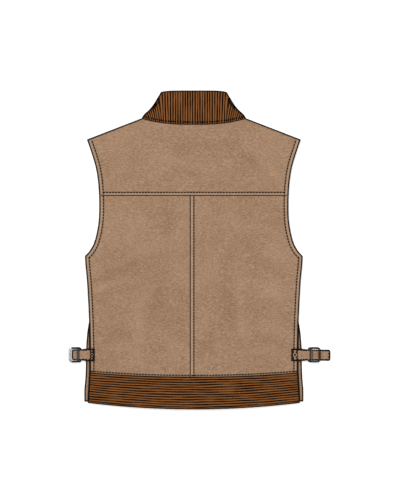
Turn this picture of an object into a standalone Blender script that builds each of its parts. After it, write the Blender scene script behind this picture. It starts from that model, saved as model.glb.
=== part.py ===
"""Utility vest, laid flat on its front with the back up and the collar towards +Y.

Every piece of cloth is a wall of its own thickness. Sizes are in metres. In the plan x runs across
from the centre line and y runs up from the hem at the centre back.
"""

import math
from collections import namedtuple

import bmesh
import bpy
import numpy as np

MM = 0.001

# Driving dimensions of the garment
CANVAS = 2.0 * MM
RIB_WALL = 2.0 * MM
RIB_RELIEF = 0.9 * MM
SEAM_GAP = 0.3 * MM
EASED_EDGE = 4.0 * MM

BACK_LENGTH = 660 * MM
NECK_HALF = 121.1 * MM
NECK_POINT_Y = 674.1 * MM
SHOULDER_TIP_X = 247.7 * MM
SHOULDER_TIP_Y = 625.1 * MM
YOKE_SEAM_Y = 495.6 * MM
YOKE_SEAM_HALF = 219.7 * MM
BACK_SEAM_X = -8.3 * MM
PIT_Y = 355.4 * MM
VENT_TOP_Y = 204.9 * MM

BAND_TOP_Y = 74.5 * MM
BAND_TOP_RISE = 10.0 * MM
BAND_TOP_HALF = 241.2 * MM
BAND_HEM_HALF = 245.4 * MM
HEM_RISE = 15.0 * MM
BAND_RIBS = 13

COLLAR_TOP_Y = 738.5 * MM
COLLAR_TOP_HALF = 76.4 * MM
COLLAR_CORNER_DROP = 3.5 * MM
COLLAR_TOP_RIBS = 27
COLLAR_END_HALF = 120.3 * MM
COLLAR_FOLD_GAP = 0.6 * MM
NECK_CURVE = 2.6

FRONT_NECK_Y = 594.2 * MM
FRONT_NECK_CURVE = 2.2
FRONT_COLLAR_TOP_Y = 672.5 * MM
FRONT_COLLAR_CURVE = 1.8
FRONT_HEM_Y = 12.0 * MM
FRONT_HEM_RISE = 6.5 * MM
FRONT_HEM_HALF = 253.5 * MM
FRONT_ARMHOLE_SCOOP = 8.0 * MM
PLACKET_HALF = 15.0 * MM
PLACKET_STEP_START = 17.0 * MM
PLACKET_STEP_END = 27.0 * MM
FRONT_EDGE_GAP = 0.5 * MM

STUDS = 5
STUD_LOW_Y = 100 * MM
STUD_HIGH_Y = 565 * MM
STUD_CAP_RADIUS = 7.5 * MM
STUD_CAP_HEIGHT = 0.7 * MM
STUD_SHAFT_RADIUS = 2.5 * MM
STUD_RING_RADIUS = 6.0 * MM
STUD_RING_HEIGHT = 0.6 * MM

STRAP_THICKNESS = 1.8 * MM
STRAP_Y = 126.6 * MM
WIRE_RADIUS = 2.2 * MM
SLIDER_LENGTH = 30.0 * MM
SLIDER_WIDTH = 35.6 * MM
SLIDER_CHAMFER = 3.6 * MM
SLIDER_MIDDLE_BAR = 21.3 * MM
SLIDER_RAISED_Z = 4.7 * MM
LEFT_SLIDER_FAR_X = 289.4 * MM
LEFT_TACK_X = 229.4 * MM
LEFT_TAIL_X = 282.6 * MM
RIGHT_SLIDER_FAR_X = 293.2 * MM
RIGHT_TACK_X = 225.5 * MM
RIGHT_TAIL_X = 316.2 * MM
RIGHT_STRAP_DROP = -1.0 * MM

# The middle of the whole laid-out garment, straps and sliders included, lies over the world's origin
CENTRE_LINE_X = -13.4 * MM
HEM_WORLD_Y = -369.25 * MM

# Height of the inner face of the back layer where it meets the front layer at an edge
EDGE_Z = CANVAS + SEAM_GAP

Edge = namedtuple("Edge", "height half_width")
Rise = namedtuple("Rise", "height rise")

ARMHOLE = (
    Edge(355.4, 252.3),
    Edge(364.6, 243.1),
    Edge(373.9, 236.8),
    Edge(383.1, 232.0),
    Edge(401.7, 226.5),
    Edge(420.2, 222.6),
    Edge(438.7, 220.2),
    Edge(466.5, 219.2),
    Edge(495.6, 219.7),
    Edge(522.0, 221.3),
    Edge(559.1, 226.9),
    Edge(596.1, 237.8),
    Edge(625.1, 247.7),
)
SIDE_SEAM = (
    Edge(204.9, 242.6),
    Edge(262.8, 245.4),
    Edge(299.8, 247.7),
    Edge(336.8, 251.2),
    Edge(355.4, 252.3),
)
BACK_VENT = (Edge(84.5, 241.2), Edge(145.0, 241.3), Edge(204.9, 242.6))
FRONT_VENT = (
    Edge(18.5, 253.5),
    Edge(49.8, 253.3),
    Edge(68.3, 251.5),
    Edge(105.3, 250.0),
    Edge(151.6, 248.9),
    Edge(179.4, 246.5),
    Edge(204.9, 242.6),
)
COLLAR_SIDE = (
    Edge(674.1, 121.1),
    Edge(679.4, 118.1),
    Edge(693.3, 104.2),
    Edge(707.2, 92.8),
    Edge(721.1, 84.6),
    Edge(730.4, 78.7),
    Edge(735.0, 76.4),
)

# How far the middle of the back layer stands above its edges, at heights from the hem to the collar's top
CROWN = (
    Rise(0.0, 2.4),
    Rise(85.0, 3.2),
    Rise(600.0, 3.2),
    Rise(674.0, 2.6),
    Rise(738.5, 0.9),
)


def curve_through(rows, reverse=False):
    """A smooth function through the rows of a table in millimetres, from its first column to its second."""
    pairs = [(row[1], row[0]) if reverse else (row[0], row[1]) for row in rows]
    xs, ys = np.array(sorted(pairs)).T * MM
    slopes = np.gradient(ys, xs)

    def value(x):
        x = min(max(x, xs[0]), xs[-1])
        i = min(int(np.searchsorted(xs, x, side="right")) - 1, len(xs) - 2)
        span = xs[i + 1] - xs[i]
        t = (x - xs[i]) / span
        start = (1 + 2 * t) * (1 - t) ** 2 * ys[i] + t * (1 - t) ** 2 * span * slopes[i]
        end = t * t * (3 - 2 * t) * ys[i + 1] - t * t * (1 - t) * span * slopes[i + 1]
        return start + end

    return value


armhole_half = curve_through(ARMHOLE)
side_half = curve_through(SIDE_SEAM)
back_vent_half = curve_through(BACK_VENT)
front_vent_half = curve_through(FRONT_VENT)
collar_half = curve_through(COLLAR_SIDE)
collar_side_y = curve_through(COLLAR_SIDE, reverse=True)
crown_rise = curve_through(CROWN)


def lerp(a, b, t):
    return a + (b - a) * t


def smoothstep(t):
    t = min(max(t, 0.0), 1.0)
    return t * t * (3 - 2 * t)


def steps(stops, counts):
    """Values from the first stop to the last, each stretch cut into its count of equal steps."""
    values = [stops[0]]
    for low, high, count in zip(stops, stops[1:], counts):
        values += [lerp(low, high, k / count) for k in range(1, count + 1)]
    return values


# Lines of the pattern in plan

def shoulder_y(x):
    return lerp(NECK_POINT_Y, SHOULDER_TIP_Y, (abs(x) - NECK_HALF) / (SHOULDER_TIP_X - NECK_HALF))


def back_neck_y(x):
    return lerp(BACK_LENGTH, NECK_POINT_Y, min(abs(x) / NECK_HALF, 1) ** NECK_CURVE)


def front_neck_y(x):
    return lerp(FRONT_NECK_Y, NECK_POINT_Y, min(abs(x) / NECK_HALF, 1) ** FRONT_NECK_CURVE)


def band_top_y(x):
    return BAND_TOP_Y + BAND_TOP_RISE * (x / BAND_TOP_HALF) ** 2


def hem_y(x):
    return HEM_RISE * (x / BAND_HEM_HALF) ** 2


def front_hem_y(x):
    return FRONT_HEM_Y + FRONT_HEM_RISE * (x / FRONT_HEM_HALF) ** 2


def collar_top_y(x):
    if abs(x) > COLLAR_TOP_HALF:
        return collar_side_y(abs(x))
    return COLLAR_TOP_Y - COLLAR_CORNER_DROP * (abs(x) / COLLAR_TOP_HALF) ** 6


def front_collar_top_y(x):
    if abs(x) > COLLAR_TOP_HALF:
        return collar_side_y(abs(x))
    corner = COLLAR_TOP_Y - COLLAR_CORNER_DROP
    return lerp(FRONT_COLLAR_TOP_Y, corner, (abs(x) / COLLAR_TOP_HALF) ** FRONT_COLLAR_CURVE)


def back_half(y):
    """Half the width of the back body at height y, below the shoulder tips."""
    if y < VENT_TOP_Y:
        return back_vent_half(y)
    if y < PIT_Y:
        return side_half(y)
    return armhole_half(y)


def front_half(y):
    """The front is the back's width, but for its wider vents and its deeper armholes."""
    if y < VENT_TOP_Y:
        return front_vent_half(y)
    if y < PIT_Y:
        return side_half(y)
    scoop = math.sin(math.pi * (y - PIT_Y) / (SHOULDER_TIP_Y - PIT_Y))
    return armhole_half(y) - FRONT_ARMHOLE_SCOOP * scoop


def outline_half(y):
    """Half the width of the whole garment at height y."""
    if y < BAND_TOP_Y + BAND_TOP_RISE:
        return lerp(BAND_HEM_HALF, BAND_TOP_HALF, max(y - HEM_RISE, 0) / BAND_TOP_Y)
    if y < SHOULDER_TIP_Y:
        return back_half(y)
    if y < NECK_POINT_Y:
        down = (NECK_POINT_Y - y) / (NECK_POINT_Y - SHOULDER_TIP_Y)
        return lerp(NECK_HALF, SHOULDER_TIP_X, down)
    return collar_half(y)


def back_inner_z(x, y):
    """Height of the back layer's inner face: lowest at the outline, and crowned between."""
    across = min(abs(x) / outline_half(y), 1.0)
    return EDGE_Z + crown_rise(y) * (1 - across**4)


# Meshes from grids of points

def new_object(name, mesh, material, smooth=True):
    obj = bpy.data.objects.new(name, mesh)
    mesh.materials.append(material)
    if smooth:
        mesh.shade_smooth()
        mesh.set_sharp_from_angle(angle=math.radians(40))
    return obj


def patch(bottom, top, left, right, us, vs):
    """Rows of (x, y) inside four edges, each edge a function of 0 to 1 that gives a point."""
    rows = []
    for v in vs:
        row = []
        for u in us:
            along = lerp(np.array(bottom(u)), np.array(top(u)), v)
            across = lerp(np.array(left(v)), np.array(right(v)), u)
            low = lerp(np.array(bottom(0)), np.array(bottom(1)), u)
            high = lerp(np.array(top(0)), np.array(top(1)), u)
            row.append(along + across - lerp(low, high, v))
        rows.append(row)
    return rows


def raised(rows, height):
    """The rows with a height worked out for each point."""
    return [[(x, y, height(x, y)) for x, y in row] for row in rows]


def add_grid(bm, rows):
    return [[bm.verts.new(point) for point in row] for row in rows]


def skin(bm, verts):
    for low, high in zip(verts, verts[1:]):
        for k in range(len(low) - 1):
            bm.faces.new((low[k], low[k + 1], high[k + 1], high[k]))


def strip(bm, first, second):
    """Quads between two lines of the same number of points."""
    for k in range(len(first) - 1):
        bm.faces.new((first[k], first[k + 1], second[k + 1], second[k]))


def finished_mesh(bm, name):
    bmesh.ops.recalc_face_normals(bm, faces=bm.faces)
    mesh = bpy.data.meshes.new(name)
    bm.to_mesh(mesh)
    bm.free()
    return mesh


def cloth(name, rows, material, thickness=CANVAS, eased=True):
    """A panel whose lower face has these points, thickened upwards, with its cut edges eased."""
    bm = bmesh.new()
    skin(bm, add_grid(bm, rows))
    mesh = bpy.data.meshes.new(name)
    bm.to_mesh(mesh)
    bm.free()
    panel = new_object(name, mesh, material)
    solidify = panel.modifiers.new("thickness", "SOLIDIFY")
    solidify.thickness = thickness
    solidify.offset = 1
    if eased:
        bevel = panel.modifiers.new("eased edges", "BEVEL")
        bevel.width = 0.5 * MM
        bevel.segments = 1
        bevel.limit_method = "ANGLE"
        bevel.angle_limit = math.radians(50)
    return panel


def knit(name, outer, inner, material):
    """A closed wall: rows of points on its ribbed outer face over the first and last of its plain inner face."""
    bm = bmesh.new()
    top = add_grid(bm, outer)
    under = add_grid(bm, (inner[0], inner[-1]))
    skin(bm, top)
    skin(bm, under)
    strip(bm, top[0], under[0])
    strip(bm, top[-1], under[-1])
    for side in (0, -1):
        bm.faces.new([row[side] for row in top] + [under[1][side], under[0][side]])
    return new_object(name, finished_mesh(bm, name), material)


# Body panels

def back_yoke(material):
    low = YOKE_SEAM_Y + SEAM_GAP / 2

    def bottom(u):
        return lerp(-YOKE_SEAM_HALF, YOKE_SEAM_HALF, u), low

    def top(u):
        x = lerp(-SHOULDER_TIP_X, SHOULDER_TIP_X, u)
        if abs(x) > NECK_HALF + 0.01 * MM:
            return x, shoulder_y(x)
        return x, back_neck_y(x) - SEAM_GAP / 2

    def right(v):
        y = lerp(low, SHOULDER_TIP_Y, v)
        return armhole_half(y), y

    def left(v):
        x, y = right(v)
        return -x, y

    neck_u = 0.5 - 0.5 * NECK_HALF / SHOULDER_TIP_X
    edge = EASED_EDGE / SHOULDER_TIP_X
    us = steps((0, edge, neck_u, 1 - neck_u, 1 - edge, 1), (1, 4, 20, 4, 1))
    vs = steps((0, 1), (7,))
    rows = patch(bottom, top, left, right, us, vs)
    return cloth("back_yoke", raised(rows, back_inner_z), material)


def back_panel(side, material):
    """side is -1 on the left half and 1 on the right half."""
    seam_x = BACK_SEAM_X + side * SEAM_GAP / 2
    top_y = YOKE_SEAM_Y - SEAM_GAP / 2
    outer_low = band_top_y(BAND_TOP_HALF) + SEAM_GAP / 2

    def bottom(u):
        x = lerp(seam_x, side * BAND_TOP_HALF, u)
        return x, band_top_y(x) + SEAM_GAP / 2

    def top(u):
        return lerp(seam_x, side * YOKE_SEAM_HALF, u), top_y

    def inner(v):
        return seam_x, lerp(band_top_y(seam_x) + SEAM_GAP / 2, top_y, v)

    def outer(v):
        y = lerp(outer_low, top_y, v)
        return side * back_half(y), y

    heights = steps((outer_low, VENT_TOP_Y, PIT_Y, PIT_Y + 48 * MM, top_y), (3, 4, 5, 4))
    vs = [(y - outer_low) / (top_y - outer_low) for y in heights]
    edge = EASED_EDGE / BAND_TOP_HALF
    us = steps((0, 0.55, 1 - edge, 1), (4, 6, 1))
    rows = patch(bottom, top, inner, outer, us, vs)
    if side < 0:
        rows = [row[::-1] for row in rows]
    name = "back_left" if side < 0 else "back_right"
    return cloth(name, raised(rows, back_inner_z), material)


def front_panel(side, material):
    """The left front's placket passes outside, and the right front's steps in behind it."""
    overlap_x = -side * PLACKET_HALF
    outer_low = front_hem_y(FRONT_HEM_HALF)
    neck_low = front_neck_y(overlap_x) - SEAM_GAP / 2

    def bottom(u):
        x = lerp(overlap_x, side * FRONT_HEM_HALF, u)
        return x, front_hem_y(x)

    def top(u):
        x = lerp(overlap_x, side * SHOULDER_TIP_X, u)
        if abs(x) > NECK_HALF + 0.01 * MM:
            return x, shoulder_y(x)
        return x, front_neck_y(x) - SEAM_GAP / 2

    def inner(v):
        return overlap_x, lerp(front_hem_y(overlap_x), neck_low, v)

    def outer(v):
        y = lerp(outer_low, SHOULDER_TIP_Y, v)
        return side * front_half(y), y

    def height(x, y):
        if side < 0:
            return 0.0
        step = (x - PLACKET_STEP_START) / (PLACKET_STEP_END - PLACKET_STEP_START)
        return EDGE_Z * (1 - smoothstep(step))

    span = SHOULDER_TIP_X + PLACKET_HALF
    stations = (-PLACKET_HALF, PLACKET_STEP_START, PLACKET_STEP_END, NECK_HALF, SHOULDER_TIP_X)
    us = steps([(x + PLACKET_HALF) / span for x in stations], (2, 4, 10, 4))
    heights = steps(
        (outer_low, VENT_TOP_Y, PIT_Y, PIT_Y + 48 * MM, SHOULDER_TIP_Y), (5, 3, 4, 5)
    )
    vs = [(y - outer_low) / (SHOULDER_TIP_Y - outer_low) for y in heights]
    rows = patch(bottom, top, inner, outer, us, vs)
    if side < 0:
        rows = [row[::-1] for row in rows]
    name = "front_left" if side < 0 else "front_right"
    return cloth(name, raised(rows, height), material, eased=False)


# Rib-knit pieces

def rib_stations(count):
    """Places along a run of ribs, in rib widths, with 1 on a rib's crest and 0 in a groove."""
    found = []
    for k in range(count):
        found += [(k, 0.0), (k + 0.3, 1.0), (k + 0.7, 1.0)]
    return found + [(count, 0.0)]


def back_band(material):
    stations = rib_stations(BAND_RIBS)
    edge = EASED_EDGE / (2 * BAND_HEM_HALF)
    us = steps((0, edge, 1 - edge, 1), (1, 14, 1))
    outer, inner = [], []
    for place, crest in stations:
        v = place / BAND_RIBS
        half = lerp(BAND_HEM_HALF, BAND_TOP_HALF, v)
        top_row, under_row = [], []
        for u in us:
            x = lerp(-half, half, u)
            y = lerp(hem_y(x), band_top_y(x) - SEAM_GAP / 2, v)
            z = back_inner_z(x, y)
            relief = RIB_RELIEF * crest * (0.3 if u in (0, 1) else 1)
            under_row.append((x, y, z))
            top_row.append((x, y, z + RIB_WALL + relief))
        outer.append(top_row)
        inner.append(under_row)
    return knit("back_band", outer, inner, material)


def collar_columns():
    """(x, crest) for each line of points across the back of the collar, from left to right."""
    pitch = 2 * COLLAR_TOP_HALF / COLLAR_TOP_RIBS
    ribs = int(COLLAR_END_HALF / pitch - 0.5) * 2 + 1
    columns = [((place - ribs / 2) * pitch, crest) for place, crest in rib_stations(ribs)]
    ends = [(COLLAR_END_HALF - 1.6 * MM, 0.7), (COLLAR_END_HALF, 0.0)]
    return [(-x, crest) for x, crest in reversed(ends)] + columns + ends


def fold_inset(x, low, high):
    """How far a layer's last row stays below the fold along the collar's side."""
    soft = 0.3 * MM + 2.2 * MM * smoothstep((abs(x) - COLLAR_TOP_HALF) / (12 * MM))
    return min(soft, 0.45 * (high - low))


def layer_column(bm, x, low, high, rows):
    """A line of points up one layer of the collar: its outer face, then the ends of its inner face.

    Each row has its place from 0 to 1 up the layer, and the heights of both faces.
    """
    outer = [bm.verts.new((x, lerp(low, high, v), outer_z)) for v, outer_z, _ in rows]
    inner = [bm.verts.new((x, lerp(low, high, v), inner_z)) for v, _, inner_z in (rows[0], rows[-1])]
    return outer, inner


def join_columns(bm, columns):
    """Both faces of a layer and the edge at its foot."""
    for (outer, inner), (next_outer, next_inner) in zip(columns, columns[1:]):
        strip(bm, outer, next_outer)
        strip(bm, inner, next_inner)
        bm.faces.new((outer[0], next_outer[0], next_inner[0], inner[0]))


def close_tops(bm, columns):
    strip(bm, [outer[-1] for outer, _ in columns], [inner[-1] for _, inner in columns])


def close_end(bm, column):
    outer, inner = column
    bm.faces.new(outer + inner[::-1])


def back_layer_column(bm, x, crest, folded):
    low = back_neck_y(x) + SEAM_GAP / 2
    high = collar_top_y(x)
    if folded:
        high -= fold_inset(x, low, high)
    rows = []
    for v, share in ((0.0, 0.5), (0.05, 1.0), (0.5, 1.0), (0.95, 1.0), (1.0, 0.35)):
        z = max(back_inner_z(x, lerp(low, high, v)), RIB_WALL + COLLAR_FOLD_GAP)
        rows.append((v, z + RIB_WALL + RIB_RELIEF * crest * share, z))
    return layer_column(bm, x, low, high, rows)


def front_layer_column(bm, x, folded):
    low = front_neck_y(x) + SEAM_GAP / 2
    high = front_collar_top_y(x)
    if folded:
        high -= fold_inset(x, low, high)
    return layer_column(bm, x, low, high, ((0.0, 0.0, RIB_WALL), (1.0, 0.0, RIB_WALL)))


def collar(material):
    """One strip round the neck: its ribbed back lies over its two front ends, which meet at the centre.

    The layers are joined by a fold down each side, and are open between the corners of the top edge.
    """
    bm = bmesh.new()
    columns = collar_columns()
    corner = min(range(len(columns)), key=lambda i: abs(columns[i][0] - COLLAR_TOP_HALF))
    other_corner = len(columns) - 1 - corner
    back = [
        back_layer_column(bm, x, crest, i <= other_corner or i >= corner)
        for i, (x, crest) in enumerate(columns)
    ]
    join_columns(bm, back)
    close_tops(bm, back[other_corner : corner + 1])

    for side in (-1, 1):
        folded = range(other_corner + 1) if side < 0 else range(len(columns) - 1, corner - 1, -1)
        open_xs = steps((COLLAR_TOP_HALF, FRONT_EDGE_GAP), (8,))[1:]
        front = [front_layer_column(bm, columns[i][0], True) for i in folded]
        front += [front_layer_column(bm, side * x, False) for x in open_xs]
        join_columns(bm, front)
        close_tops(bm, front[len(folded) - 1 :])
        close_end(bm, front[-1])

        over = [back[i] for i in folded]
        under = front[: len(folded)]
        folds = []
        for i, (_, inner) in zip(folded, over):
            x = columns[i][0]
            folds.append(bm.verts.new((x, collar_top_y(x), (inner[-1].co.z + RIB_WALL) / 2)))
        strip(bm, [outer[-1] for outer, _ in over], folds)
        strip(bm, folds, [outer[-1] for outer, _ in under])
        strip(bm, [inner[-1] for _, inner in over], [inner[-1] for _, inner in under])
        for k in (0, -1):
            around = (over[k][0][-1], folds[k], under[k][0][-1], under[k][1][-1], over[k][1][-1])
            bm.faces.new(around)
        close_end(bm, over[0])
        close_end(bm, under[0])

    return new_object("collar", finished_mesh(bm, "collar"), material)


# Fastenings

def turned(name, profile, steps_round, material, place):
    """A turned shape from (radius, height) points that run down its outer side."""
    mesh = bpy.data.meshes.new(name)
    edges = [(k, k + 1) for k in range(len(profile) - 1)]
    mesh.from_pydata([(r, 0, z) for r, z in profile], edges, [])
    obj = bpy.data.objects.new(name, mesh)
    mesh.materials.append(material)
    screw = obj.modifiers.new("turn", "SCREW")
    screw.axis = "Z"
    screw.steps = screw.render_steps = steps_round
    screw.use_merge_vertices = True
    screw.merge_threshold = 0.00001
    screw.use_smooth_shade = False
    obj.location = place
    return obj


def stud_places():
    return [
        (0.0, lerp(STUD_LOW_Y, STUD_HIGH_Y, k / (STUDS - 1)), 0.0) for k in range(STUDS)
    ]


def stud(number, place, material):
    cap, shaft, ring = STUD_CAP_RADIUS, STUD_SHAFT_RADIUS, STUD_RING_RADIUS
    ring_low = EDGE_Z + CANVAS + SEAM_GAP
    top = ring_low + STUD_RING_HEIGHT
    profile = (
        (0, top),
        (ring, top),
        (ring, ring_low),
        (shaft, ring_low),
        (shaft, STUD_CAP_HEIGHT),
        (cap, STUD_CAP_HEIGHT),
        (cap, 0.3 * MM),
        (cap - 0.6 * MM, 0),
        (0, 0),
    )
    return turned(f"stud_{number}", profile, 16, material, place)


def stud_bore(number, place, material):
    """The cutter for a cap's recess in the outer placket and the shaft's hole through both."""
    recess = STUD_CAP_RADIUS + SEAM_GAP
    hole = STUD_SHAFT_RADIUS + SEAM_GAP
    depth = STUD_CAP_HEIGHT + SEAM_GAP
    above = 8 * MM
    profile = ((0, above), (hole, above), (hole, depth), (recess, depth), (recess, -MM), (0, -MM))
    bore = turned(f"stud_bore_{number}", profile, 16, material, place)
    bore.hide_render = True
    bore.display_type = "WIRE"
    return bore


def cut_bores(panel, cutters):
    bores = panel.modifiers.new("stud bores", "BOOLEAN")
    bores.operation = "DIFFERENCE"
    bores.operand_type = "COLLECTION"
    bores.collection = cutters
    bores.solver = "EXACT"


def wire(name, points, cyclic):
    data = bpy.data.curves.new(name, "CURVE")
    data.dimensions = "3D"
    data.bevel_depth = WIRE_RADIUS
    data.bevel_resolution = 2
    data.use_fill_caps = True
    spline = data.splines.new("POLY")
    spline.points.add(len(points) - 1)
    for point, place in zip(spline.points, points):
        point.co = (*place, 1)
    spline.use_cyclic_u = cyclic
    return bpy.data.objects.new(name, data)


def as_mesh(curve, name):
    """The curve's own mesh, its caps welded, in place of the curve."""
    bpy.context.scene.collection.objects.link(curve)
    graph = bpy.context.evaluated_depsgraph_get()
    mesh = bpy.data.meshes.new_from_object(curve.evaluated_get(graph))
    bm = bmesh.new()
    bm.from_mesh(mesh)
    bmesh.ops.remove_doubles(bm, verts=bm.verts, dist=0.00001)
    bmesh.ops.recalc_face_normals(bm, faces=bm.faces)
    bm.to_mesh(mesh)
    bm.free()
    obj = bpy.data.objects.new(name, mesh)
    obj.matrix_world = curve.matrix_world
    bpy.data.objects.remove(curve, do_unlink=True)
    return obj


def slider(name, side, far_x, material, cutters):
    """A bent-wire slider. Its near bar lies under the strap, and its middle bar over it."""
    half = SLIDER_WIDTH / 2 - WIRE_RADIUS
    near = SLIDER_LENGTH - WIRE_RADIUS
    far = WIRE_RADIUS
    cut = SLIDER_CHAMFER
    knee = SLIDER_MIDDLE_BAR - 1.5 * MM
    low, high = WIRE_RADIUS, SLIDER_RAISED_Z
    one_side = [
        (near, half - cut, low),
        (near - cut * 0.3, half - cut * 0.3, low),
        (near - cut, half, low + 0.2 * MM),
        (knee, half, high),
        (far + cut, half, high),
        (far + cut * 0.3, half - cut * 0.3, high),
        (far, half - cut, high),
    ]
    loop = one_side + [(u, -y, z) for u, y, z in reversed(one_side)]

    def placed(points):
        return [(side * (far_x - u), STRAP_Y + y, z) for u, y, z in points]

    frame = as_mesh(wire(f"{name}_frame", placed(loop), True), name)
    frame.data.materials.clear()
    frame.data.materials.append(material)
    frame.data.shade_smooth()
    bar_ends = [(SLIDER_MIDDLE_BAR, half, high), (SLIDER_MIDDLE_BAR, -half, high)]
    bar = as_mesh(wire(f"{name}_middle_bar", placed(bar_ends), False), f"{name}_middle_bar")
    bar.hide_render = True
    bar.display_type = "WIRE"
    cutters.objects.link(bar)
    union = frame.modifiers.new("middle bar", "BOOLEAN")
    union.operation = "UNION"
    union.object = bar
    union.solver = "EXACT"
    return frame


Station = namedtuple("Station", "out low half_width")


def strap(name, side, stations, drift, material):
    """A strap along X. Each station has its distance out, its underside and its half width, in millimetres.

    drift is how far its free end lies towards +Y from its tacked end.
    """
    outs = np.array([s.out for s in stations])
    starts = outs[0]
    rows = []
    for s in stations:
        y = STRAP_Y + drift * (s.out - starts) / (outs[-1] - starts)
        rows.append(
            [(side * s.out * MM, y + edge * s.half_width * MM, s.low * MM) for edge in (-1, 1)]
        )
    if side > 0:
        rows = [row[::-1] for row in rows]
    return cloth(name, rows, material, STRAP_THICKNESS)


def strap_stations(tack, far_x, tail):
    """Stations from the tack on the back panel, over the near bar and under the others, to the tail."""
    tack, far_x, tail = tack / MM, far_x / MM, tail / MM
    near = far_x - (SLIDER_LENGTH - WIRE_RADIUS) / MM
    middle = far_x - SLIDER_MIDDLE_BAR / MM
    far = far_x - WIRE_RADIUS / MM
    over = (2 * WIRE_RADIUS + SEAM_GAP) / MM
    under = (SLIDER_RAISED_Z - WIRE_RADIUS - SEAM_GAP - STRAP_THICKNESS) / MM
    edge = BAND_TOP_HALF / MM
    on_back = (EDGE_Z + CANVAS + SEAM_GAP) / MM
    found = [
        Station(tack, on_back + 0.75, 14.0),
        Station(lerp(tack, edge, 0.5), on_back + 0.45, 14.2),
        Station(edge, on_back + 0.05, 14.2),
        Station(edge + 3, on_back - 0.5, 14.0),
        Station(edge + 7, on_back - 1.0, 13.5),
        Station(lerp(edge + 7, near, 0.5), on_back - 0.8, 12.9),
        Station(near - 2.2, over - 0.1, 12.5),
        Station(near, over, 12.4),
        Station(lerp(near, middle, 0.2), over - 0.45, 12.4),
        Station(lerp(near, middle, 0.4), lerp(under, over, 0.55), 12.3),
        Station(lerp(near, middle, 0.6), lerp(under, over, 0.22), 12.3),
        Station(lerp(near, middle, 0.8), under + 0.2, 12.3),
        Station(middle, under, 12.2),
        Station(middle + 2.5, under + 0.1, 12.2),
        Station(lerp(middle, far, 0.5), under + 0.9, 12.1),
    ]
    if tail > far_x:
        found += [
            Station(far - 2.5, under + 0.1, 12.1),
            Station(far, under, 12.1),
            Station(far + 4, 0.25, 12.1),
            Station(tail - 4.0, 0.1, 12.1),
        ]
    else:
        found.append(Station(tail - 2.6, under + 0.6, 12.1))
    found += [Station(tail - 1.0, found[-1].low, 10.9), Station(tail, found[-1].low, 8.6)]
    return found


# Whole garment

def principled(name, colour, roughness, metallic=0.0):
    material = bpy.data.materials.new(name)
    material.use_nodes = True
    shader = material.node_tree.nodes["Principled BSDF"]
    shader.inputs["Base Color"].default_value = (*colour, 1)
    shader.inputs["Roughness"].default_value = roughness
    shader.inputs["Metallic"].default_value = metallic
    material.diffuse_color = (*colour, 1)
    return material


def main():
    for obj in list(bpy.data.objects):
        bpy.data.objects.remove(obj, do_unlink=True)

    garment = bpy.data.collections.new("utility_vest")
    cutters = bpy.data.collections.new("cutters")
    bores = bpy.data.collections.new("stud_bores")
    bpy.context.scene.collection.children.link(garment)
    bpy.context.scene.collection.children.link(cutters)
    cutters.children.link(bores)

    body = principled("brushed_canvas", (0.36, 0.22, 0.135), 0.9)
    rib = principled("rib_knit", (0.12, 0.047, 0.017), 0.85)
    webbing = principled("strap_canvas", (0.36, 0.22, 0.135), 0.88)
    metal = principled("gunmetal", (0.32, 0.33, 0.34), 0.3, 1.0)

    for number, place in enumerate(stud_places(), 1):
        bores.objects.link(stud_bore(number, place, metal))

    fronts = [front_panel(-1, body), front_panel(1, body)]
    for panel in fronts:
        cut_bores(panel, bores)
    pieces = fronts + [
        back_yoke(body),
        back_panel(-1, body),
        back_panel(1, body),
        back_band(rib),
        collar(rib),
    ]
    for number, place in enumerate(stud_places(), 1):
        pieces.append(stud(number, place, metal))

    left = strap_stations(LEFT_TACK_X, LEFT_SLIDER_FAR_X, LEFT_TAIL_X)
    right = strap_stations(RIGHT_TACK_X, RIGHT_SLIDER_FAR_X, RIGHT_TAIL_X)
    pieces += [
        slider("slider_left", -1, LEFT_SLIDER_FAR_X, metal, cutters),
        slider("slider_right", 1, RIGHT_SLIDER_FAR_X, metal, cutters),
        strap("strap_left", -1, left, 0, webbing),
        strap("strap_right", 1, right, RIGHT_STRAP_DROP, webbing),
    ]

    laid = bpy.data.objects.new("laid_flat", None)
    laid.location = (CENTRE_LINE_X, HEM_WORLD_Y, 0)
    garment.objects.link(laid)
    for piece in pieces:
        garment.objects.link(piece)
        piece.parent = laid
    for helper in list(bores.objects) + list(cutters.objects):
        helper.parent = laid


main()
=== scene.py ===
"""Looks of the utility vest: its cloth as sewn shells on the forms of the solids, ribs, stitches and metal.

Sizes are in metres. In the plan x runs across from the centre line and y up from the hem at the centre back.
"""

import math
import random
from collections import namedtuple

import bmesh
import bpy
import numpy as np
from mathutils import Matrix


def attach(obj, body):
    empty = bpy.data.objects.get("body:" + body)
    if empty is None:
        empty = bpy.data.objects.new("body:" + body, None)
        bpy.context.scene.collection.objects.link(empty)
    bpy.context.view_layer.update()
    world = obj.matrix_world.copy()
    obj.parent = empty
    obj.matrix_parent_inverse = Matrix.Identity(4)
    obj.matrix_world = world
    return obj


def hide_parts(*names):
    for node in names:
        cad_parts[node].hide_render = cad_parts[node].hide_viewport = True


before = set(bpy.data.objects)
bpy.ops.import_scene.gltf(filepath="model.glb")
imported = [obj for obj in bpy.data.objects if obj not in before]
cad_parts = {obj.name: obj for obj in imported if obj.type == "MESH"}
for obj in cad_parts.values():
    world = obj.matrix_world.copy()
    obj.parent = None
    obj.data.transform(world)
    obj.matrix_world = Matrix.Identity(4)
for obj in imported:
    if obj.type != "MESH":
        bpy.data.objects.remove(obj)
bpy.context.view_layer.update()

MM = 0.001

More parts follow.
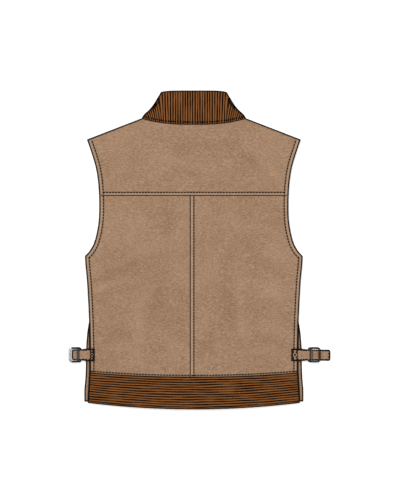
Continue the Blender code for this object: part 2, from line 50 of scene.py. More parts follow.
# Pattern sizes, the same as the solids'
CANVAS = 2.0 * MM
RIB_WALL = 2.0 * MM
SEAM_GAP = 0.3 * MM
EDGE_Z = CANVAS + SEAM_GAP
BACK_LENGTH = 660 * MM
NECK_HALF = 121.1 * MM
NECK_POINT_Y = 674.1 * MM
NECK_CURVE = 2.6
SHOULDER_TIP_X = 247.7 * MM
SHOULDER_TIP_Y = 625.1 * MM
YOKE_SEAM_Y = 495.6 * MM
YOKE_SEAM_HALF = 219.7 * MM
BACK_SEAM_X = -8.3 * MM
PIT_Y = 355.4 * MM
VENT_TOP_Y = 204.9 * MM
BAND_TOP_Y = 74.5 * MM
BAND_TOP_RISE = 10.0 * MM
BAND_TOP_HALF = 241.2 * MM
BAND_HEM_HALF = 245.4 * MM
HEM_RISE = 15.0 * MM
BAND_RIBS = 13
COLLAR_TOP_Y = 738.5 * MM
COLLAR_TOP_HALF = 76.4 * MM
COLLAR_CORNER_DROP = 3.5 * MM
COLLAR_END_HALF = 120.3 * MM
COLLAR_FOLD_GAP = 0.6 * MM
RIB_PITCH = 5.66 * MM
FRONT_NECK_Y = 594.2 * MM
FRONT_NECK_CURVE = 2.2
FRONT_COLLAR_TOP_Y = 672.5 * MM
FRONT_COLLAR_CURVE = 1.8
FRONT_HEM_Y = 12.0 * MM
FRONT_HEM_RISE = 6.5 * MM
FRONT_HEM_HALF = 253.5 * MM
FRONT_ARMHOLE_SCOOP = 8.0 * MM
FRONT_EDGE_GAP = 0.5 * MM
PLACKET_HALF = 15.0 * MM
PLACKET_STEP_START = 17.0 * MM
PLACKET_STEP_END = 27.0 * MM
STUDS = 5
STUD_LOW_Y = 100 * MM
STUD_HIGH_Y = 565 * MM
STRAP_THICKNESS = 1.8 * MM
STRAP_Y = 126.6 * MM
WIRE_RADIUS = 2.2 * MM
SLIDER_LENGTH = 30.0 * MM
SLIDER_MIDDLE_BAR = 21.3 * MM
SLIDER_RAISED_Z = 4.7 * MM
CENTRE_LINE_X = -13.4 * MM
HEM_WORLD_Y = -369.25 * MM

# Sewing
STITCH_PITCH = 6.9 * MM
STITCH_LENGTH = 5.2 * MM
STITCH_WIDTH = 3.0 * MM
COLLAR_STITCH_WIDTH = 3.2 * MM
STITCH_HEIGHT = 1.1 * MM
STITCH_SIDES = 8
STITCH_LENGTH_SHARES = (0.93, 1.07)
STITCH_SWING_IN_MM = 0.12
HEM_ALLOWANCE = 10.0 * MM
SIDE_ALLOWANCE = 9.4 * MM
YOKE_ALLOWANCE = 6.9 * MM
BACK_SEAM_ALLOWANCE = 8.2 * MM
BAND_ALLOWANCE = 4.2 * MM
COLLAR_ALLOWANCE = 5.3 * MM
FRONT_HEM_ALLOWANCE = 9.0 * MM
ALLOWANCE_RISE = 0.35 * MM
ALLOWANCE_STEP = 2.0 * MM
ALLOWANCE_STEP_IN = 1.4 * MM
SHADE_FADE = 1.3 * MM
PALE_FROM_RIM = 2 * MM

# How the cloth sinks and puckers along a row of stitches, with painted shade in its stitch holes and a paler
# strip beside it, worn and painted as a highlight
SINK_DEPTH = 0.42 * MM
SINK_WIDTH = 1.3 * MM
PUCKER_RISE = 0.13 * MM
PUCKER_WIDTH = 6 * MM
PUCKER_STITCHES = 3.3
PUCKER_WANDER = 31 * MM
PUCKER_SWAY = 1.3
ROW_SHADE = 0.55
ROW_SHADE_WIDTH = 1.8 * MM
HOLE_SWING = 0.28
PALE_BESIDE_ROW = 0.3
PALE_BESIDE_ROW_OUT = 3.2 * MM
PALE_BESIDE_ROW_WIDTH = 1.6 * MM

# Shares of full painted shade, painted shade on inner faces, and how the ridges and troughs of creases show,
# with painted light on their ridges and painted shade in their troughs
DEEP_SHADE = 0.97
INNER_SHADE = 0.25
RIDGE_INSIDE = 0.9
RIDGE_PAINTED_LIGHT = 0.4
RIDGE_PAINTED_LIGHT_HEIGHT = 2.0 * MM
TROUGH_SHADE = 0.09
TROUGH_SHADE_DEPTH = 1.0 * MM
CREASE_WANDER = 0.05
CREASE_TURNS = 2.2

# Points of a shell's outer face to each point of its inner face, both ways
SHELL_GAP = 6

SIDE_NAMES = {-1: "left", 1: "right"}
Edge = namedtuple("Edge", "height half_width")
Rise = namedtuple("Rise", "height rise")
Crease = namedtuple("Crease", "x y angle length width depth")
Border = namedtuple("Border", "points drop width shade shade_width allowance")
Panel = namedtuple("Panel", "borders stitches")

# Half widths of the outline at heights from the hem, in millimetres
ARMHOLE = (
    Edge(355.4, 252.3),
    Edge(364.6, 243.1),
    Edge(373.9, 236.8),
    Edge(383.1, 232.0),
    Edge(401.7, 226.5),
    Edge(420.2, 222.6),
    Edge(438.7, 220.2),
    Edge(466.5, 219.2),
    Edge(495.6, 219.7),
    Edge(522.0, 221.3),
    Edge(559.1, 226.9),
    Edge(596.1, 237.8),
    Edge(625.1, 247.7),
)
SIDE_SEAM = (
    Edge(204.9, 242.6),
    Edge(262.8, 245.4),
    Edge(299.8, 247.7),
    Edge(336.8, 251.2),
    Edge(355.4, 252.3),
)
BACK_VENT = (Edge(84.5, 241.2), Edge(145.0, 241.3), Edge(204.9, 242.6))
FRONT_VENT = (
    Edge(18.5, 253.5),
    Edge(49.8, 253.3),
    Edge(68.3, 251.5),
    Edge(105.3, 250.0),
    Edge(151.6, 248.9),
    Edge(179.4, 246.5),
    Edge(204.9, 242.6),
)
COLLAR_SIDE = (
    Edge(674.1, 121.1),
    Edge(679.4, 118.1),
    Edge(693.3, 104.2),
    Edge(707.2, 92.8),
    Edge(721.1, 84.6),
    Edge(730.4, 78.7),
    Edge(735.0, 76.4),
)

# How far the back layer stands above its edges, at heights from the hem
CROWN = (
    Rise(0.0, 2.4),
    Rise(85.0, 3.2),
    Rise(600.0, 3.2),
    Rise(674.0, 2.6),
    Rise(738.5, 0.9),
)

# Soft troughs and ridges of the laid cloth, in millimetres and degrees: a positive depth is a ridge
BACK_CREASES = (
    Crease(-178, 318, 27, 132, 14, -1.0),
    Crease(-196, 286, 17, 100, 11, 2.2),
    Crease(-146, 352, 36, 92, 12, 1.6),
    Crease(-128, 300, 31, 70, 9, 0.9),
    Crease(176, 330, -33, 118, 13, -1.0),
    Crease(206, 352, -44, 74, 9, 1.9),
    Crease(156, 288, -20, 110, 14, 2.0),
    Crease(184, 262, -9, 66, 9, 1.0),
    Crease(-172, 168, 13, 92, 11, -0.9),
    Crease(-158, 138, -4, 84, 9, 1.6),
    Crease(-138, 106, -15, 92, 11, 0.9),
    Crease(170, 166, -15, 96, 10, -0.9),
    Crease(152, 132, 3, 76, 10, 1.8),
    Crease(136, 104, 13, 84, 11, 1.0),
    Crease(-92, 236, 74, 160, 17, -1.0),
    Crease(-122, 222, 79, 124, 13, 1.8),
    Crease(78, 262, 98, 176, 18, -1.0),
    Crease(112, 222, 94, 134, 14, 2.1),
    Crease(-66, 436, 82, 92, 16, -0.9),
    Crease(-36, 404, 71, 84, 12, 1.3),
    Crease(94, 438, 103, 84, 14, 1.7),
    Crease(62, 366, 66, 92, 15, 1.2),
    Crease(-160, 556, 41, 118, 14, -0.9),
    Crease(-186, 536, 47, 88, 10, 1.8),
    Crease(150, 562, -38, 110, 13, -0.9),
    Crease(184, 546, -46, 80, 10, 2.0),
    Crease(12, 610, 3, 160, 14, -0.8),
    Crease(-48, 576, -12, 108, 12, 1.5),
    Crease(56, 544, 17, 94, 13, 1.3),
    Crease(-140, 412, 58, 80, 12, 1.5),
    Crease(-30, 312, -62, 78, 13, 1.3),
    Crease(32, 150, 66, 104, 14, -0.9),
    Crease(-52, 142, 101, 86, 12, 1.1),
    Crease(-120, 478, 8, 96, 12, 0.9),
    Crease(150, 458, -22, 84, 11, 1.2),
)
FRONT_CREASES = (
    Crease(-170, 320, -20, 110, 15, 0.9),
    Crease(178, 336, 27, 96, 13, 0.9),
    Crease(-96, 210, 82, 140, 18, 0.8),
    Crease(104, 250, 96, 150, 19, 0.8),
    Crease(-150, 540, -34, 100, 14, 0.8),
    Crease(150, 550, 38, 90, 14, 0.8),
)


def smooth(t):
    t = np.clip(t, 0.0, 1.0)
    return t * t * (3 - 2 * t)


def lerp(a, b, t):
    return a + (b - a) * t


def fades(distance, start, width):
    """1 up to a distance, and then smoothly down to 0 over a width."""
    return 1 - smooth((distance - start) / width)


def bell(distance, width):
    return np.exp(-((distance / width) ** 2))


def round_drop(distance, radius):
    """The share by which a rounded edge has dropped, at a distance in from it."""
    t = np.clip(1 - distance / radius, 0, 1)
    return 1 - np.sqrt(1 - t * t)


def curve_through(rows, reverse=False):
    """A smooth function through the rows of a table in millimetres, from its first column to its second."""
    pairs = [(row[1], row[0]) if reverse else (row[0], row[1]) for row in rows]
    xs, ys = np.array(sorted(pairs)).T * MM
    slopes = np.gradient(ys, xs)

    def value(x):
        x = np.clip(x, xs[0], xs[-1])
        i = np.clip(np.searchsorted(xs, x, side="right") - 1, 0, len(xs) - 2)
        span = xs[i + 1] - xs[i]
        t = (x - xs[i]) / span
        start = (1 + 2 * t) * (1 - t) ** 2 * ys[i] + t * (1 - t) ** 2 * span * slopes[i]
        end = t * t * (3 - 2 * t) * ys[i + 1] - t * t * (1 - t) * span * slopes[i + 1]
        return start + end

    return value


armhole_half = curve_through(ARMHOLE)
side_half = curve_through(SIDE_SEAM)
back_vent_half = curve_through(BACK_VENT)
front_vent_half = curve_through(FRONT_VENT)
collar_half = curve_through(COLLAR_SIDE)
collar_side_y = curve_through(COLLAR_SIDE, reverse=True)
crown_rise = curve_through(CROWN)


# Lines of the pattern in plan

def shoulder_y(x):
    return lerp(NECK_POINT_Y, SHOULDER_TIP_Y, (np.abs(x) - NECK_HALF) / (SHOULDER_TIP_X - NECK_HALF))


def neck_y(x, lowest, curve):
    return lerp(lowest, NECK_POINT_Y, np.minimum(np.abs(x) / NECK_HALF, 1) ** curve)


def back_neck_y(x):
    return neck_y(x, BACK_LENGTH, NECK_CURVE)


def front_neck_y(x):
    return neck_y(x, FRONT_NECK_Y, FRONT_NECK_CURVE)


def band_top_y(x):
    return BAND_TOP_Y + BAND_TOP_RISE * (x / BAND_TOP_HALF) ** 2


def hem_y(x):
    return HEM_RISE * (x / BAND_HEM_HALF) ** 2


def front_hem_y(x):
    return FRONT_HEM_Y + FRONT_HEM_RISE * (x / FRONT_HEM_HALF) ** 2


def collar_top_y(x):
    across = np.minimum(np.abs(x) / COLLAR_TOP_HALF, 1)
    over = COLLAR_TOP_Y - COLLAR_CORNER_DROP * across**6
    return np.where(np.abs(x) > COLLAR_TOP_HALF, collar_side_y(np.abs(x)), over)


def front_collar_top_y(x):
    across = np.minimum(np.abs(x) / COLLAR_TOP_HALF, 1)
    over = lerp(FRONT_COLLAR_TOP_Y, COLLAR_TOP_Y - COLLAR_CORNER_DROP, across**FRONT_COLLAR_CURVE)
    return np.where(np.abs(x) > COLLAR_TOP_HALF, collar_side_y(np.abs(x)), over)


def back_half(y):
    below_pit = np.where(y < VENT_TOP_Y, back_vent_half(y), side_half(y))
    return np.where(y < PIT_Y, below_pit, armhole_half(y))


def front_half(y):
    scoop = np.sin(np.pi * np.clip((y - PIT_Y) / (SHOULDER_TIP_Y - PIT_Y), 0, 1))
    below_pit = np.where(y < VENT_TOP_Y, front_vent_half(y), side_half(y))
    return np.where(y < PIT_Y, below_pit, armhole_half(y) - FRONT_ARMHOLE_SCOOP * scoop)


def outline_half(y):
    """Half the width of the whole garment at height y."""
    band = lerp(BAND_HEM_HALF, BAND_TOP_HALF, np.maximum(y - HEM_RISE, 0) / BAND_TOP_Y)
    down = (NECK_POINT_Y - y) / (NECK_POINT_Y - SHOULDER_TIP_Y)
    shoulder = lerp(NECK_HALF, SHOULDER_TIP_X, down)
    upper = np.where(y < NECK_POINT_Y, shoulder, collar_half(y))
    body = np.where(y < SHOULDER_TIP_Y, back_half(y), upper)
    return np.where(y < BAND_TOP_Y + BAND_TOP_RISE, band, body)


def back_inner_z(x, y):
    """Height of the back layer's inner face: lowest at the outline, and crowned between."""
    across = np.minimum(np.abs(x) / outline_half(y), 1.0)
    return EDGE_Z + crown_rise(y) * (1 - across**4)


def placket_z(x):
    """Height of the right front's lower face, where it steps in behind the left front's placket."""
    return EDGE_Z * (1 - smooth((x - PLACKET_STEP_START) / (PLACKET_STEP_END - PLACKET_STEP_START)))


# Places along lines, and distances from them

def along_x(y_of, low, high, step=6 * MM):
    xs = np.linspace(low, high, max(2, int(abs(high - low) / step) + 1))
    return np.stack([xs, y_of(xs) * np.ones_like(xs)], axis=1)


def along_y(x_of, low, high, step=6 * MM):
    ys = np.linspace(low, high, max(2, int(abs(high - low) / step) + 1))
    return np.stack([x_of(ys) * np.ones_like(ys), ys], axis=1)


def mirrored(points):
    return points * np.array([-1.0, 1.0])


def arc_lengths(points):
    return np.concatenate([[0], np.cumsum(np.linalg.norm(np.diff(points, axis=0), axis=1))])


def places_on(line, starts, kept):
    """Points at distances along a line, whose own points start at the distances in starts."""
    return np.stack([np.interp(kept, starts, line[:, k]) for k in (0, 1)], axis=1)


def distance_to(points, x, y):
    """For each place, its distance from a line and how far along the line its nearest point lies."""
    best = np.full(x.shape, 1.0)
    place = np.zeros(x.shape)
    starts = arc_lengths(points)
    for k in range(len(points) - 1):
        (ax, ay), (bx, by) = points[k], points[k + 1]
        length = starts[k + 1] - starts[k]
        t = ((x - ax) * (bx - ax) + (y - ay) * (by - ay)) / length**2
        t = np.clip(t, 0, 1)
        d = np.hypot(x - lerp(ax, bx, t), y - lerp(ay, by, t))
        nearer = d < best
        best = np.where(nearer, d, best)
        place = np.where(nearer, starts[k] + t * length, place)
    return best, place


def moved_in(points, distance, ends=(0.0, 0.0)):
    """A line parallel to another on its left, shortened at its two ends."""
    starts = arc_lengths(points)
    tangent = np.gradient(points, starts, axis=0)
    tangent /= np.linalg.norm(tangent, axis=1)[:, None]
    normal = np.stack([-tangent[:, 1], tangent[:, 0]], axis=1)
    line = points + normal * distance
    starts = arc_lengths(line)
    kept = np.linspace(ends[0], starts[-1] - ends[1], max(2, int(starts[-1] / (4 * MM))))
    return places_on(line, starts, kept)


def creased(creases, x, y):
    """Height of the soft creases, each an uneven trough or ridge that fades at its ends."""
    total = np.zeros(x.shape)
    for c in creases:
        a = math.radians(c.angle)
        dx, dy = x / MM - c.x, y / MM - c.y
        along = dx * math.cos(a) + dy * math.sin(a)
        wander = CREASE_WANDER * along * np.sin(along / c.length * CREASE_TURNS)
        across = dy * math.cos(a) - dx * math.sin(a) + wander
        fade = np.exp(-((2 * along / c.length) ** 4))
        total += c.depth * MM * fade * bell(across, c.width)
    return total


def relief(panel, x, y):
    """Rise of the sewn cloth over its plain form, with its painted shade and how pale each place is."""
    rise = np.zeros(x.shape)
    dark = np.zeros(x.shape)
    pale = np.zeros(x.shape)
    for border in panel.borders:
        d, _ = distance_to(border.points, x, y)
        rise -= border.drop * round_drop(d, border.width)
        # Painted shade along each border, in the seam's groove and where the edge rolls down
        dark = np.maximum(dark, border.shade * fades(d, border.shade_width, SHADE_FADE))
        if border.allowance:
            inside = fades(d, border.allowance - ALLOWANCE_STEP_IN, ALLOWANCE_STEP)
            rise += ALLOWANCE_RISE * inside
            # Paler on the raised allowance, as wear and as a painted highlight
            pale = np.maximum(pale, inside * smooth(d / PALE_FROM_RIM))
    for line in panel.stitches:
        d, s = distance_to(line, x, y)
        turns = 2 * np.pi * s / STITCH_PITCH
        rise -= SINK_DEPTH * bell(d, SINK_WIDTH) * (1 - HOLE_SWING + HOLE_SWING * np.cos(turns))
        pucker = np.sin(turns / PUCKER_STITCHES + PUCKER_SWAY * np.sin(s / PUCKER_WANDER))
        rise += PUCKER_RISE * pucker * bell(d, PUCKER_WIDTH)
        # Painted shade in the stitch holes, and a paler strip beside the row, worn and painted as a highlight
        dark = np.maximum(dark, ROW_SHADE * bell(d, ROW_SHADE_WIDTH))
        pale = np.maximum(pale, PALE_BESIDE_ROW * bell(d - PALE_BESIDE_ROW_OUT, PALE_BESIDE_ROW_WIDTH))
    return rise, dark, pale


# Meshes

NEAR_EDGE = (0.4, 0.9, 1.6, 2.6, 3.4, 4.3, 5.4, 6.5, 7.5, 8.4, 9.3, 10.2, 11.3, 13.0)


def graded(length, step, low_edge=True, high_edge=True):
    """Places from 0 to 1 along a length, close together near the edges that are sewn."""
    near = np.array(NEAR_EDGE) * MM
    low = near[-1] if low_edge else 0.0
    high = length - near[-1] if high_edge else length
    middle = np.linspace(low, high, max(2, int((high - low) / step) + 1))
    parts = [[0.0], near[:-1]] if low_edge else []
    parts.append(middle)
    if high_edge:
        parts += [length - near[:-1][::-1], [length]]
    return np.concatenate(parts) / length


def patch(bottom, top, left, right, us, vs):
    """x and y of rows of points inside four edges, each edge a function of 0 to 1."""
    low, high = np.stack(bottom(us)), np.stack(top(us))
    first, last = np.stack(left(vs)), np.stack(right(vs))
    u, v = us[None, None, :], vs[None, :, None]
    along = lerp(low[:, None, :], high[:, None, :], v)
    across = lerp(first[:, :, None], last[:, :, None], u)
    low_chord = lerp(low[:, None, :1], low[:, None, -1:], u)
    high_chord = lerp(high[:, None, :1], high[:, None, -1:], u)
    return along + across - lerp(low_chord, high_chord, v)


def every(count, gap):
    """Indices up to count - 1, gap apart, with the last one kept."""
    picked = list(range(0, count - 1, gap))
    return picked + [count - 1]


def rim_faces(upper, lower, picks):
    """Faces between a fine line of points and the coarser one below it."""
    faces = []
    for k, (a, b) in enumerate(zip(picks, picks[1:])):
        faces.append([lower[k], lower[k + 1]] + [upper[j] for j in range(b, a - 1, -1)])
    return faces


def edge_across(y_of, first_x, last_x):
    """An edge of a panel as a function of 0 to 1, at the height that y_of gives for each x."""

    def places(share):
        x = lerp(first_x, last_x, share)
        return x, y_of(x) * np.ones_like(x)

    return places


def edge_up(x_of, low, high):
    """An edge of a panel as a function of 0 to 1, at the place across that x_of gives for each y."""

    def places(share):
        y = lerp(low, high, share)
        return x_of(y) * np.ones_like(y), y

    return places


def shell_mesh(x, y, top, bottom, gap):
    """A wall as (points, faces), its fine top over a bottom of one row in gap, and the bottom's places."""
    rows, columns = x.shape
    row_picks, column_picks = every(rows, gap), every(columns, gap)
    grid = np.ix_(row_picks, column_picks)
    layers = ((x, y, top), (x[grid], y[grid], bottom[grid]))
    points = np.concatenate([np.stack(layer, axis=2).reshape(-1, 3) for layer in layers])
    upper = np.arange(x.size).reshape(rows, columns)
    lower = x.size + np.arange(x[grid].size).reshape(x[grid].shape)
    faces = []
    for ids in (upper, lower):
        quads = np.stack([ids[:-1, :-1], ids[:-1, 1:], ids[1:, 1:], ids[1:, :-1]], axis=2)
        faces += quads.reshape(-1, 4).tolist()
    for k in (0, -1):
        faces += rim_faces(upper[k].tolist(), lower[k].tolist(), column_picks)
        faces += rim_faces(upper[:, k].tolist(), lower[:, k].tolist(), row_picks)
    return (points, faces), grid


def new_piece(name, parts, material, values=None, uvs=(), angle=50):
    """A piece that rides on the garment, joined from parts (points, faces).

    Each named value, and the texture places, are arrays that follow one another as the points do.
    """
    faces, first = [], 0
    for part_points, part_faces in parts:
        faces += [[index + first for index in face] for face in part_faces]
        first += len(part_points)
    points = np.concatenate([part_points for part_points, _ in parts])
    mesh = bpy.data.meshes.new(name)
    mesh.from_pydata((points + np.array([CENTRE_LINE_X, HEM_WORLD_Y, 0.0])).tolist(), [], faces)
    for label, arrays in (values or {}).items():
        numbers = np.concatenate([np.ravel(array) for array in arrays])
        mesh.attributes.new(label, "FLOAT", "POINT").data.foreach_set("value", numbers.astype(np.float32))
    if uvs:
        places = np.concatenate([array.reshape(-1, 2) for array in uvs]).astype(np.float32)
        corner_points = np.zeros(len(mesh.loops), dtype=np.int32)
        mesh.loops.foreach_get("vertex_index", corner_points)
        mesh.uv_layers.new(name="knit").data.foreach_set("uv", places[corner_points].ravel())
    bm = bmesh.new()
    bm.from_mesh(mesh)
    bmesh.ops.recalc_face_normals(bm, faces=bm.faces)
    bm.to_mesh(mesh)
    bm.free()
    mesh.shade_smooth()
    mesh.set_sharp_from_angle(angle=math.radians(angle))
    mesh.materials.append(material)
    obj = bpy.data.objects.new(name, mesh)
    bpy.context.scene.collection.objects.link(obj)
    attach(obj, "root")
    return obj


def sewn_shell(name, x, y, panel):
    """A panel of the back with its creases, seams, hems and stitch holes on its upper face."""
    inner = back_inner_z(x, y)
    rise, dark, pale = relief(panel, x, y)
    folds = creased(BACK_CREASES, x, y)
    top = inner + CANVAS + rise + folds
    part, grid = shell_mesh(x, y, top, inner + RIDGE_INSIDE * np.maximum(folds, 0), SHELL_GAP)
    # Painted light on the ridges of the creases and painted shade in their troughs
    pale = np.maximum(pale, RIDGE_PAINTED_LIGHT * np.clip(folds / RIDGE_PAINTED_LIGHT_HEIGHT, 0, 1))
    dark = np.maximum(dark, TROUGH_SHADE * np.clip(-folds / TROUGH_SHADE_DEPTH, 0, 1))
    # Painted shade on the inner face
    under = np.zeros(x[grid].shape)
    values = {"dark": (dark, under + INNER_SHADE), "pale": (pale, under)}
    return new_piece(name, [part], CANVAS_LOOK, values)


# Materials

KNIT_ROW = 2.3 * MM


def node(tree, kind, **settings):
    made = tree.nodes.new(kind)
    for key, value in settings.items():
        setattr(made, key, value)
    return made


def linear(red, green, blue):
    """A colour given as it looks on a screen, from 0 to 255, as light."""
    parts = [c / 255 for c in (red, green, blue)]
    light = [c / 12.92 if c <= 0.04045 else ((c + 0.055) / 1.055) ** 2.4 for c in parts]
    return (*light, 1.0)


def start_material(name, roughness, metallic=0.0, sheen=0.0, specular=0.05, edge_tint=1.0):
    material = bpy.data.materials.new(name)
    material.use_nodes = True
    tree = material.node_tree
    shader = tree.nodes["Principled BSDF"]
    shader.inputs["Roughness"].default_value = roughness
    shader.inputs["Metallic"].default_value = metallic
    shader.inputs["Sheen Weight"].default_value = sheen
    shader.inputs["Sheen Roughness"].default_value = 0.5
    shader.inputs["Specular IOR Level"].default_value = specular
    shader.inputs["Specular Tint"].default_value = (edge_tint, edge_tint, edge_tint, 1.0)
    return material, tree, shader


def noise(tree, where, scale, detail=2.0, roughness=0.5, stretch=(1, 1, 1), distortion=0.0):
    """A cloudy pattern from 0 to 1 with features about 1 / scale metres wide."""
    mapping = node(tree, "ShaderNodeMapping")
    mapping.inputs["Scale"].default_value = stretch
    tree.links.new(where, mapping.inputs["Vector"])
    made = node(tree, "ShaderNodeTexNoise")
    settings = {"Scale": scale, "Detail": detail, "Roughness": roughness, "Distortion": distortion}
    for key, number in settings.items():
        made.inputs[key].default_value = number
    tree.links.new(mapping.outputs["Vector"], made.inputs["Vector"])
    return made.outputs["Fac"]


def object_places(tree):
    return node(tree, "ShaderNodeTexCoord").outputs["Object"]


def ranged(tree, value, low, high, new_low=0.0, new_high=1.0):
    made = node(tree, "ShaderNodeMapRange")
    for key, number in zip(("From Min", "From Max", "To Min", "To Max"), (low, high, new_low, new_high)):
        made.inputs[key].default_value = number
    tree.links.new(value, made.inputs["Value"])
    return made.outputs["Result"]


def combine(tree, operation, first, second=0.0):
    made = node(tree, "ShaderNodeMath", operation=operation)
    for socket, value in zip(made.inputs, (first, second)):
        if isinstance(value, (int, float)):
            socket.default_value = value
        else:
            tree.links.new(value, socket)
    return made.outputs["Value"]


def mixed(tree, factor, first, second):
    """A colour between two, each a fixed colour or a socket."""
    made = node(tree, "ShaderNodeMix", data_type="RGBA", clamp_factor=True)
    tree.links.new(factor, made.inputs[0])
    for socket, value in ((made.inputs[6], first), (made.inputs[7], second)):
        if isinstance(value, tuple):
            socket.default_value = value
        else:
            tree.links.new(value, socket)
    return made.outputs[2]


def tinted(tree, colour, tints):
    """A colour with tints over it, each (pattern, value without it, value at its most, its most, tint)."""
    for pattern, none_at, most_at, most, tint in tints:
        colour = mixed(tree, ranged(tree, pattern, none_at, most_at, 0.0, most), colour, tint)
    return colour


def finish_material(tree, shader, colour, heights):
    """Link a colour and bumps of several sizes, each (pattern, strength, depth in metres), one on another."""
    tree.links.new(colour, shader.inputs["Base Color"])
    normal = None
    for height, strength, distance in heights:
        made = node(tree, "ShaderNodeBump")
        made.inputs["Strength"].default_value = strength
        made.inputs["Distance"].default_value = distance
        tree.links.new(height, made.inputs["Height"])
        if normal is not None:
            tree.links.new(normal, made.inputs["Normal"])
        normal = made.outputs["Normal"]
    tree.links.new(normal, shader.inputs["Normal"])


def attribute(tree, name):
    return node(tree, "ShaderNodeAttribute", attribute_name=name).outputs["Fac"]


def canvas_material(name, base, deep, light, grained, painted_shade):
    """Brushed canvas: a mottled nap with fine grain, paler where worn and where light is painted, and
    darkened to painted shade in its seams, stitch holes, crease troughs and along its edges.
    """
    material, tree, shader = start_material(name, 0.95, sheen=0.02)
    where = object_places(tree)
    clouds = noise(tree, where, 11, 3, 0.5, stretch=(0.8, 1.2, 1), distortion=0.5)
    patches = noise(tree, where, 34, 3, 0.6, stretch=(1.2, 0.9, 1))
    mottle = noise(tree, where, 160, 3, 0.6, stretch=(0.6, 1.3, 1))
    grain = noise(tree, where, 460, 3, 0.7, stretch=(0.4, 1.3, 1))
    fibres = noise(tree, where, 1000, 2, 0.6, stretch=(0.4, 1.5, 1))
    nap = noise(tree, where, 2600, 2, 0.6, stretch=(0.6, 1.4, 1))
    tints = (
        (clouds, 0.62, 0.38, 0.8, deep),
        (patches, 0.5, 0.8, 0.35, deep),
        (mottle, 0.52, 0.8, 0.75, deep),
        (mottle, 0.48, 0.2, 0.55, light),
        (grain, 0.5, 0.66, 0.82, light),
        (grain, 0.48, 0.3, 0.87, grained),
        (fibres, 0.5, 0.85, 0.5, grained),
        (nap, 0.5, 0.3, 0.4, grained),
        (nap, 0.5, 0.7, 0.4, light),
    )
    # Paler, in patches, where worn and where light is painted on crease ridges and beside stitches
    paler = combine(tree, "MULTIPLY", attribute(tree, "pale"), ranged(tree, patches, 0.2, 0.8, 0.2, 0.6))
    colour = mixed(tree, paler, tinted(tree, base, tints), light)
    # Painted shade where the dark attribute says
    colour = mixed(tree, attribute(tree, "dark"), colour, painted_shade)
    heights = (
        (mottle, 0.3, 0.5 * MM),
        (grain, 0.5, 0.4 * MM),
        (fibres, 0.4, 0.2 * MM),
        (nap, 0.4, 0.1 * MM),
    )
    finish_material(tree, shader, colour, heights)
    return material


def knit_material(name, ridge, side, groove):
    """Rib knit: rows of stitches on each rib, with painted shade between its loops and painted shade of
    uneven darkness in the grooves between ribs.

    Texture places count ribs across and metres along.
    """
    material, tree, shader = start_material(name, 0.95, sheen=0.01)
    uv = node(tree, "ShaderNodeUVMap", uv_map="knit").outputs["UV"]
    parts = node(tree, "ShaderNodeSeparateXYZ")
    tree.links.new(uv, parts.inputs["Vector"])
    across = combine(tree, "FRACT", parts.outputs["X"])
    from_middle = combine(tree, "ABSOLUTE", combine(tree, "SUBTRACT", across, 0.5))
    slant = combine(tree, "MULTIPLY", from_middle, 2.4)
    rows = combine(tree, "ADD", combine(tree, "MULTIPLY", parts.outputs["Y"], 1 / KNIT_ROW), slant)
    loops = combine(tree, "SINE", combine(tree, "MULTIPLY", rows, 2 * math.pi))
    # Painted shade between the loops and down the middle of each rib
    spine = ranged(tree, from_middle, 0.0, 0.09, 0.25, 1.0)
    loops = combine(tree, "MULTIPLY", ranged(tree, loops, -0.9, 0.4), spine)
    streaks = noise(tree, uv, 1.0, 3, 0.6, stretch=(1.3, 20, 1))
    wear = noise(tree, object_places(tree), 60, 3, 0.6)
    fuzz = noise(tree, object_places(tree), 1100, 2, 0.6)
    tints = (
        (streaks, 0.3, 0.7, 1.0, ridge),
        (wear, 0.45, 0.75, 0.4, side),
        (fuzz, 0.45, 0.7, 0.35, side),
        (loops, 0.7, 0.0, 0.62, groove),
    )
    # Painted shade in the grooves, uneven along them, and at the rims and seams from the shade attribute
    depth = combine(tree, "MULTIPLY", attribute(tree, "dark"), ranged(tree, streaks, 0.36, 0.66, 1.2, 0.65))
    shade = combine(tree, "MAXIMUM", depth, attribute(tree, "shade"))
    colour = mixed(tree, shade, tinted(tree, side, tints), groove)
    finish_material(tree, shader, colour, ((loops, 0.9, 0.6 * MM), (fuzz, 0.4, 0.2 * MM)))
    return material


def thread_material(name, colour, light):
    """Twisted thread with a slight lustre."""
    material, tree, shader = start_material(name, 0.75, specular=0.06)
    twist = noise(tree, object_places(tree), 700, 2, 0.5)
    colour = tinted(tree, colour, [(twist, 0.4, 0.7, 1.0, light)])
    finish_material(tree, shader, colour, [(twist, 0.5, 0.2 * MM)])
    return material


def metal_material(name, colour, paler, silver, side_shade):
    """Plated steel with fine scratches and paler rubbed patches, with black painted shade at its sides and a
    painted silver highlight along its top.
    """
    material, tree, shader = start_material(name, 0.3, metallic=1.0, specular=0.5, edge_tint=0.03)
    where = object_places(tree)
    rubbed = noise(tree, where, 190, 3, 0.6)
    scratches = noise(tree, where, 260, 4, 0.7, stretch=(1, 9, 1))
    colour = tinted(tree, colour, [(rubbed, 0.45, 0.75, 1.0, paler)])
    # Painted highlight toward silver, then painted shade toward black along the sides
    colour = mixed(tree, attribute(tree, "painted_highlight"), colour, silver)
    colour = mixed(tree, attribute(tree, "dark"), colour, side_shade)
    tree.links.new(ranged(tree, scratches, 0.3, 0.7, 0.26, 0.44), shader.inputs["Roughness"])
    finish_material(tree, shader, colour, [(scratches, 0.15, 0.05 * MM)])
    return material


def floor_material(name, colour):
    """A matt light table, very slightly uneven, lit faintly from within."""
    material, tree, shader = start_material(name, 0.8)
    uneven = noise(tree, object_places(tree), 3, 3, 0.5)
    shade = tuple(c * 0.985 for c in colour[:3]) + (1.0,)
    tree.links.new(mixed(tree, uneven, shade, colour), shader.inputs["Base Color"])
    shader.inputs["Emission Color"].default_value = colour
    shader.inputs["Emission Strength"].default_value = 0.25
    return material


